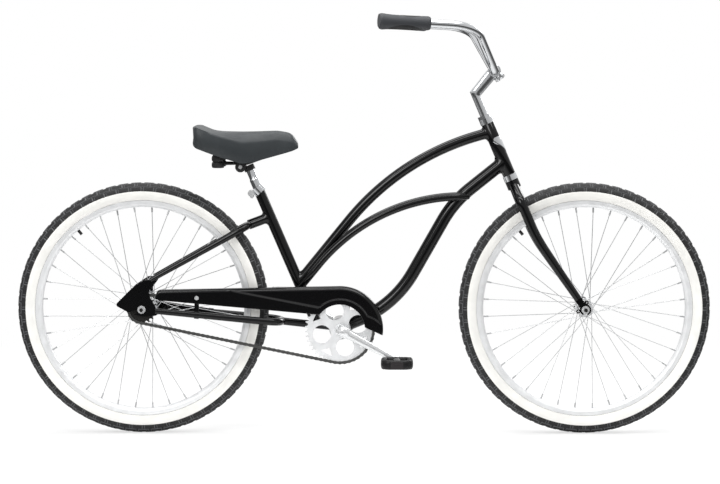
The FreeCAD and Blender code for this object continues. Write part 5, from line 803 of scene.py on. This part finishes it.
# %% Tread surface
EDGE_RADIUS, CROWN_RISE, HALF_WIDTH, TREAD_DEPTH = 308.5, 24.0, 27.0, 2.6
section = np.pi * across
sink = TREAD_DEPTH * (1 - rubber)
outer_y = np.cos(section) * (HALF_WIDTH - 0.9 * sink)
outer_r = EDGE_RADIUS + np.sin(section) * (CROWN_RISE - sink)
inner_section = np.linspace(np.pi, 0, 13)[None] + 0 * around
inner_y = np.cos(inner_section) * (HALF_WIDTH - 4.0)
inner_r = EDGE_RADIUS + np.sin(inner_section) * (CROWN_RISE - 6.0)
tread_y = np.concatenate([outer_y, inner_y], axis=1)
tread_r = np.concatenate([outer_r, inner_r], axis=1)
turn = 2 * np.pi * around
tread_grid = np.stack([tread_r * np.cos(turn), tread_y, tread_r * np.sin(turn)], axis=-1)
block_height = np.concatenate([rubber, 0 * inner_y], axis=1)
print("tyre", 2 * (EDGE_RADIUS + CROWN_RISE), "mm across")

# %% Sidewall and rim profiles
BEAD_RADIUS, BEAD_Y, WALL_THICKNESS = 286.0, 15.8, 1.6
wall = np.linspace(0, 1, 16)
wall_r = BEAD_RADIUS + (EDGE_RADIUS + 1.5 - BEAD_RADIUS) * wall
wall_y = BEAD_Y + (HALF_WIDTH + 0.15 - BEAD_Y) * np.sin(wall * np.pi / 2) ** 0.85
low_rib = 0.5 * np.exp(-((wall - 0.14) / 0.035) ** 2)
high_rib = 0.4 * np.exp(-((wall - 0.88) / 0.03) ** 2)
wall_y = wall_y + low_rib + high_rib
wall_inside = np.stack([wall_r, wall_y - WALL_THICKNESS], 1)
white_profile = np.concatenate([np.stack([wall_r, wall_y], 1), wall_inside[::-1]])
rim_half = np.array([(285.5, 14.6), (285.5, 15.6), (284.9, 16.2), (283.6, 16.2), (282.8, 15.9),
                     (276.0, 15.9), (274.6, 15.5), (268.4, 10.0), (267.5, 8.6)])
rim_inside = np.array([(270.5, 6.5), (278.5, 9.5), (279.4, 13.6)])
rim_profile = np.concatenate([rim_half, (rim_half * (1, -1))[::-1], rim_inside * (1, -1), rim_inside[::-1]])
print("rim", 2 * rim_half[:, 0].max(), "mm across")

# %% Wheels
WHEEL_SIDES = 256
for name, hub in (("front", FRONT_HUB), ("rear", REAR_HUB)):
    body = name + "_wheel"
    tread = piece(name + "_tread", tread_grid + hub, body, tread_blocks, wrap_rows=True, sharp_deg=30.0)
    heights = tread.data.attributes.new("block_height", "FLOAT", "POINT")
    heights.data.foreach_set("value", block_height.ravel())
    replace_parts(tread, name + "_tyre")
    for word, way in BOTH:
        side_wall = turned(name + "_whitewall_" + word, white_profile * (1, way), hub, SIDE_AXIS, body,
                           white_rubber, WHEEL_SIDES)
        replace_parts(side_wall, name + "_whitewalls")
    rim = turned(name + "_rim_smooth", rim_profile, hub, SIDE_AXIS, body, alloy, WHEEL_SIDES)
    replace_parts(rim, name + "_rim")
print("wheels drawn")

# %% [markdown]
# ## Chain guard
# The guard is one pressing: a tail that follows the chain and an arch round the ring. Its
# upper edge rolls over into a flange and a raised panel gives it stiffness. On a grid, one
# parameter runs along the top edge and the other goes down the face.

# %% Guard tail
GUARD_OUTER, GUARD_INNER, PANEL_RADIUS = 114.0, 66.0, 78.0
TAIL_END, TAIL_TOP, TAIL_LOW, TAIL_ROUND = -484.0, 104.0, 75.0, 12
heel = polar(GUARD_INNER, 144.0)
tail_x = np.concatenate([TAIL_END + TAIL_ROUND * (1 - np.cos(np.linspace(0, np.pi / 2, 9))),
                         np.linspace(TAIL_END + TAIL_ROUND, 0, 130)[1:]])
bow = np.clip((TAIL_END + TAIL_ROUND - tail_x) / TAIL_ROUND, 0, 1)
bow = 1 - np.sqrt(np.clip(1 - bow ** 2, 0, 1))
slope = (GUARD_OUTER - TAIL_TOP) / -TAIL_END
tail_high = GUARD_OUTER + slope * tail_x
straight_low = np.interp(tail_x, (TAIL_END + 2 * TAIL_ROUND, heel[0]), (TAIL_LOW, heel[2]))
arch_low = np.sqrt(np.clip(GUARD_INNER ** 2 - tail_x ** 2, 0, None))
tail_low = np.where(tail_x < heel[0], straight_low, arch_low)
middle = (tail_high + tail_low) / 2
tail_high, tail_low = (edge + (middle - edge) * bow * 0.8 for edge in (tail_high, tail_low))
print("tail points:", len(tail_x))

# %% Guard panel and arch
PANEL_START, NO_PANEL = -322.0, 200.0
panel_heel = polar(PANEL_RADIUS, 134.0)
panel_ends = (GUARD_OUTER + slope * PANEL_START, panel_heel[2])
straight_panel = np.interp(tail_x, (PANEL_START, panel_heel[0]), panel_ends)
round_panel = np.sqrt(np.clip(PANEL_RADIUS ** 2 - tail_x ** 2, 0, None))
panel_low = np.where(tail_x < panel_heel[0], straight_panel, round_panel)
panel_low = np.where(tail_x < PANEL_START, NO_PANEL, panel_low)
arch_deg = np.linspace(90, -8, 90)[1:]
inner_deg = np.linspace(90, 5, 90)[1:]
arch_panel = np.interp(arch_deg, (4.0, 21.0), (GUARD_OUTER, PANEL_RADIUS))
high = np.concatenate([np.stack([tail_x, 0 * tail_x, tail_high], 1), polar(GUARD_OUTER, arch_deg)])
low = np.concatenate([np.stack([tail_x, 0 * tail_x, tail_low], 1), polar(GUARD_INNER, inner_deg)])
length = np.linalg.norm(high - low, axis=1)[:, None]
panel_down = np.concatenate([tail_high - panel_low, GUARD_OUTER - arch_panel])
down = unit(low - high)
print("edge points:", len(high))

# %% Guard surface
GUARD_FACE, PANEL_RISE, PANEL_EDGE, SHOULDER, FLANGE, SHEET = 54.5, 3.0, 4.0, 9.0, 15, 1.6
roll = np.linspace(0, np.pi / 2, 10)[None]
flange_y = np.linspace(-GUARD_FACE + FLANGE, -GUARD_FACE + SHOULDER, 4)[None] + 0 * length
roll_y = -GUARD_FACE + SHOULDER * (1 - np.sin(roll)) + 0 * length
roll_d = SHOULDER * (1 - np.cos(roll)) + 0 * length
face_d = SHOULDER + (length - SHOULDER) * np.linspace(0, 1, 34)[None, 1:]
guard_y = np.concatenate([flange_y, roll_y, -GUARD_FACE + 0 * face_d], axis=1)
guard_d = np.concatenate([0 * flange_y, roll_d, face_d], axis=1)
inside = np.clip((panel_down[:, None] - guard_d) / PANEL_EDGE, 0, 1)
rise = inside * inside * (3 - 2 * inside) * np.clip(guard_d / SHOULDER, 0, 1)
guard_y = (guard_y - PANEL_RISE * rise)[..., None]
guard_grid = CRANK_AXLE + high[:, None] + down[:, None] * guard_d[..., None] + SIDE_AXIS * guard_y
guard = piece("chain_guard_pressing", guard_grid, "frame", enamel, wrap_columns=False, caps=False)
thick = guard.modifiers.new("sheet", "SOLIDIFY")
thick.thickness = SHEET * MM
thick.offset = -1.0
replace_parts(guard, "chain_guard")
print("guard drawn")

# %% [markdown]
# ## Crank
# A one-piece crank is a forged bar bent twice. Its section goes from a flat oval at the pedal
# eye to a round spindle through the bracket, so the ring carried along the line changes its
# width and depth on the way.

# %% Crank
CRANK_TURN = np.radians(28.0)
CRANK_LENGTH, EYE_PLACE, BEND_PLACE, BEND_RADIUS = 170, 72.7, 61.7, 18.0
arm_x = np.array([np.cos(-CRANK_TURN), 0, np.sin(-CRANK_TURN)])
arm_up = np.array([np.sin(CRANK_TURN), 0, np.cos(CRANK_TURN)])


def on_crank(x, y):
    """Point at a length along the right arm and a distance to the left of the frame."""
    return CRANK_AXLE + arm_x * x + SIDE_AXIS * y


crank_route = [on_crank(CRANK_LENGTH, -EYE_PLACE), on_crank(0, -BEND_PLACE), on_crank(0, BEND_PLACE),
               on_crank(-CRANK_LENGTH, EYE_PLACE)]
crank_line = bent(crank_route, (BEND_RADIUS, BEND_RADIUS), 2.0)
reach = np.linalg.norm((crank_line - CRANK_AXLE) * (1, 0, 1), axis=1)
half_width = np.interp(reach, (0, 16, 34, CRANK_LENGTH), (14.5, 14.0, 11.6, 8.4))
half_depth = np.interp(reach, (0, 8, 26, CRANK_LENGTH), (11.9, 11.9, 7.2, 6.2))
crank_grid = carried(crank_line, half_width, half_depth, arm_up, 40, 0.8)
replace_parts(piece("crank_forging", crank_grid, "crank", forged), "crank")
eye_profile = sleeve(6.3, 12.5, -7.5, 7.5, 1.1, 1.1)
for word, way in BOTH:
    eye = on_crank(-way * CRANK_LENGTH, way * EYE_PLACE)
    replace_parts(turned("crank_eye_" + word, eye_profile, eye, SIDE_AXIS, "crank", forged), "crank")
print("crank drawn")

# %% [markdown]
# ## Pedals
# A resin pedal is a loop of rounded bar round an open middle, with a barrel for the axle and
# a flat smoke-grey reflector at its outer end. An oval carried round a closed line gives the
# loop, and its height rises and falls in small teeth where a shoe rests.

# %% Pedal sizes
PEDAL_NEAR, PEDAL_FAR, PEDAL_HALF = 86.2, 178.2, 42.0
BAR_HALF, BAR_HEIGHT, BAR_CORNER = 8.0, 12.3, 16.0
TOOTH_RISE, TOOTH_PITCH = 1.1, 11.0
REFLECTOR_HALF, REFLECTOR_HEIGHT, REFLECTOR_PROUD = 16.5, 9.0, 1.8
AXLE_BORE, BARREL_RADIUS, WEB_START, WEB_HEIGHT, WEB_HALF = 6.5, 11.5, 9.0, 6.0, 4.0
near, far = PEDAL_NEAR + BAR_HALF, PEDAL_FAR - BAR_HALF - REFLECTOR_PROUD
out = PEDAL_HALF - BAR_HALF
pedal_route = ((0, near), (out, near), (out, far), (-out, far), (-out, near), (0, near))
barrel_profile = [(AXLE_BORE, near), (BARREL_RADIUS, near), (BARREL_RADIUS, far), (AXLE_BORE, far)]
print("pedal", 2 * PEDAL_HALF, "mm long")

# %% Pedals
for word, way in BOTH:
    body = "pedal_" + word
    axle = on_crank(-CRANK_LENGTH * way, 0.0)
    loop = bent([axle + (x, way * y, 0) for x, y in pedal_route], [BAR_CORNER] * 4, 1.0)
    beside = np.abs(loop[:, 0] - axle[0]) > out - 0.5
    teeth = np.clip(3 * np.sin(2 * np.pi * loop[:, 1] / TOOTH_PITCH), -1, 1)
    bar_height = BAR_HEIGHT + TOOTH_RISE * np.where(beside, teeth, 0)
    ring = carried(loop, bar_height, BAR_HALF, (0, 0, 1), 32, 0.8)
    cage = piece("pedal_cage_" + word, ring, body, pedal_resin, caps=False)
    barrel = turned("pedal_barrel_" + word, barrel_profile, axle, SIDE_AXIS * way, body, pedal_resin)
    middle = axle + SIDE_AXIS * (way * (near + far) / 2)
    for place, ahead in (("front", 1), ("rear", -1)):
        web_line = np.linspace(middle + (ahead * WEB_START, 0, 0), middle + (ahead * out, 0, 0), 6)
        web_grid = carried(web_line, WEB_HEIGHT, WEB_HALF, (0, 0, 1), 24, 0.6)
        web = piece("pedal_web_" + place + "_" + word, web_grid, body, pedal_resin)
        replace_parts(web, "pedal_" + word)
    plate_line = np.linspace(axle + SIDE_AXIS * (way * far), axle + SIDE_AXIS * (way * PEDAL_FAR), 6)
    plate_grid = carried(plate_line, REFLECTOR_HALF, REFLECTOR_HEIGHT, (1, 0, 0), 40, 0.25)
    plate = piece("pedal_reflector_" + word, plate_grid, body, smoke_reflector)
    for made in (cage, barrel, plate):
        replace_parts(made, "pedal_" + word)
print("pedals drawn")

# %% [markdown]
# ## Seat post and clamp
# The post is a turned tube that narrows for the saddle clamp. A tilted collar pinches the
# seat tube on it with one bolt. Two lobed rubber bumpers under the pad take the weight.

# %% Seat post and collar
POST_TOP, POST_LENGTH = SEAT_TUBE_LENGTH + 66.0, 250.0
post_profile = np.array([(0.1, -POST_LENGTH), (12.7, -POST_LENGTH), (12.7, -38.0), (12.2, -36.0),
                         (11.0, -33.0), (11.0, -0.8), (10.2, 0.0), (0.1, 0.0)]) + (0, POST_TOP)
post = turned("seat_post_smooth", post_profile, SEAT_FOOT, SEAT_UP, "seat_post", chrome, closed=False)
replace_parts(post, "seat_post")
COLLAR_AXIS = polar(1.0, 180 - 47.0)
collar_profile = [(14.4, -10.5), (16.9, -10.5), (17.5, -9.9), (17.5, 8.4), (16.9, 9.0), (12.8, 9.0)]
collar = turned("seat_collar_ring", collar_profile, seat(SEAT_TUBE_LENGTH), COLLAR_AXIS, "frame", chrome)
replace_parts(collar, "seat_collar")
lug_place = seat(SEAT_TUBE_LENGTH - 1.0) - SEAT_AHEAD * 22.0
lug_profile = sleeve(0.1, 8.4, -13.0, 13.0)
lug = turned("seat_collar_bolt", lug_profile, lug_place, SIDE_AXIS, "frame", zinc, closed=False)
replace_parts(lug, "seat_collar")
print("post", POST_LENGTH, "mm long")

# %% Saddle clamp
CLAMP_BOLT = np.array([-324.6, 0.0, 706.7])
cap_profile = np.array([(11.1, -11.0), (14.0, -11.0), (14.8, -10.2), (14.8, 2.0), (13.5, 3.5),
                        (0.1, 3.5), (0.1, 0.2), (11.1, 0.2)]) + (0, POST_TOP)
clamp_cap = turned("saddle_clamp_cap", cap_profile, SEAT_FOOT, SEAT_UP, "seat_post", moulded)
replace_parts(clamp_cap, "saddle_clamp")
boss_profile = sleeve(5.2, 12.0, -12.5, 12.5)
clamp_boss = turned("saddle_clamp_boss", boss_profile, CLAMP_BOLT, SIDE_AXIS, "seat_post", moulded)
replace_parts(clamp_boss, "saddle_clamp")
neck_foot = seat(POST_TOP - 5.0) - SEAT_AHEAD * 11.5
neck_line = np.linspace(CLAMP_BOLT + (7.0, 0, -1.0), neck_foot, 8)
neck = carried(neck_line, 11.5, 7.0, SIDE_AXIS, 32, 0.5)
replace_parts(piece("saddle_clamp_neck", neck, "seat_post", moulded), "saddle_clamp")
print("clamp bolt at", CLAMP_BOLT)

# %% Saddle bumpers
BUMPER_LOW, BUMPER_HEIGHT, BUMPER_X, BUMPER_HALF = 705.3, 48.6, -382.1, 46.0
LOBE_SHARE = 0.68
height = np.linspace(0, 1, 60)
lobe = np.abs(np.sin(np.clip(height / LOBE_SHARE, 0, 1) * 2 * np.pi)) ** 0.35
barrel = np.where(height < LOBE_SHARE, 12.5 + 4.4 * lobe, 13.5)
bumper_wall = np.stack([barrel, BUMPER_LOW + BUMPER_HEIGHT * height], 1)
bumper_profile = np.concatenate([[(0.1, BUMPER_LOW)], bumper_wall, [(0.1, BUMPER_LOW + BUMPER_HEIGHT)]])
for word, way in BOTH:
    made = turned("saddle_bumper_" + word, bumper_profile, (BUMPER_X, way * BUMPER_HALF, 0.0), (0, 0, 1),
                  "saddle", elastomer, closed=False)
    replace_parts(made, "saddle_bumpers")
print("bumpers", BUMPER_HEIGHT, "mm high")

# %% [markdown]
# ## Saddle
# The saddle is moulded foam under tight vinyl: wide wings at the back, a waist and a narrow
# nose. Stations along its length give half width, edge height and crown height, and smooth
# curves run through them, so the pad swells between its edges as foam does.

# %% Saddle stations
SADDLE_TIP = -324.55 + 151.5
SADDLE_LENGTH, SADDLE_HALF, SADDLE_BASE, SADDLE_HEIGHT = 275.0, 116.0, 711.65, 104.0
stations = (0.0, 0.05, 0.1, 0.2, 0.36, 0.43, 0.53, 0.72, 0.81, 0.9, 1.0)
half_shares = (0.13, 0.2, 0.23, 0.25, 0.34, 0.44, 0.62, 0.92, 0.98, 1.0, 0.97)
low_shares = (0.4, 0.36, 0.32, 0.245, 0.13, 0.08, 0.05, 0.22, 0.305, 0.39, 0.475)
shoulder_shares = (0.5, 0.58, 0.61, 0.64, 0.6, 0.58, 0.58, 0.745, 0.83, 0.92, 1.01)
crown_shares = (0.62, 0.77, 0.83, 0.87, 0.855, 0.85, 0.845, 0.85, 0.87, 0.94, 1.03)


def smooth(at, values):
    """Smooth curve through station values: straight-line reading, blurred along the length."""
    fine = np.linspace(-0.15, 1.15, 521)
    raw = np.interp(fine, stations, values)
    kernel = np.exp(-np.linspace(-2, 2, 41) ** 2)
    soft_line = np.convolve(np.pad(raw, 20, "edge"), kernel / kernel.sum(), "valid")
    return np.interp(at, fine, soft_line)


print("stations:", len(stations))

# %% Saddle sections
along = (1 - np.cos(np.linspace(0, np.pi, 110))) / 2
end_round = np.sqrt(np.clip(1 - np.clip((along - 0.955) / 0.045, 0, 1) ** 2.2, 0, 1))
nose_round = np.sqrt(np.clip(1 - np.clip((0.07 - along) / 0.07, 0, 1) ** 2.2, 0, 1))
tuck = np.minimum(end_round, nose_round)
squeeze = np.where(along > 0.5, 0.74, 0.35)
half = SADDLE_HALF * smooth(along, half_shares) * (np.where(along > 0.5, 0.9, 0.55) * (1 - tuck) + tuck)
low, shoulder, crown = (SADDLE_BASE + SADDLE_HEIGHT * smooth(along, shares)
                        for shares in (low_shares, shoulder_shares, crown_shares))
middle = (low + shoulder) / 2
low, shoulder, crown = (middle + (z - middle) * (squeeze + (1 - squeeze) * tuck)
                        for z in (low, shoulder, crown))
print("saddle", SADDLE_LENGTH, "mm long")

# %% Saddle surface
wing = np.linspace(-1, 1, 41)
pad_y = half[:, None] * 0.97 * np.sign(wing) * np.abs(wing) ** 0.8
pad_z = shoulder[:, None] + (crown - shoulder)[:, None] * (1 - np.abs(wing) ** 2.4)
skirt = np.linspace(0, 1, 14)[1:-1]
bulge = half[:, None] * (0.97 + 0.05 * np.sin(np.pi * skirt) - 0.05 * skirt)
skirt_z = shoulder[:, None] + (low - shoulder)[:, None] * skirt
under = np.linspace(1, -1, 21)
under_y = half[:, None] * 0.92 * under
under_z = low[:, None] + 8 * (1 - np.abs(under) ** 3)
saddle_y = np.concatenate([pad_y, bulge, under_y, -bulge[:, ::-1]], axis=1)
saddle_z = np.concatenate([pad_z, skirt_z, under_z, skirt_z[:, ::-1]], axis=1)
corner_round = np.clip((along - 0.8) / 0.2, 0, 1)[:, None] ** 2 * (np.abs(saddle_y) / SADDLE_HALF) ** 4
saddle_x = SADDLE_TIP - SADDLE_LENGTH * along[:, None] + 9.0 * corner_round
saddle_grid = np.stack([saddle_x, saddle_y, saddle_z], axis=-1)
saddle = piece("saddle_pad", saddle_grid, "saddle", vinyl, sharp_deg=70.0)
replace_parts(saddle, "saddle_cover")
print("saddle drawn")
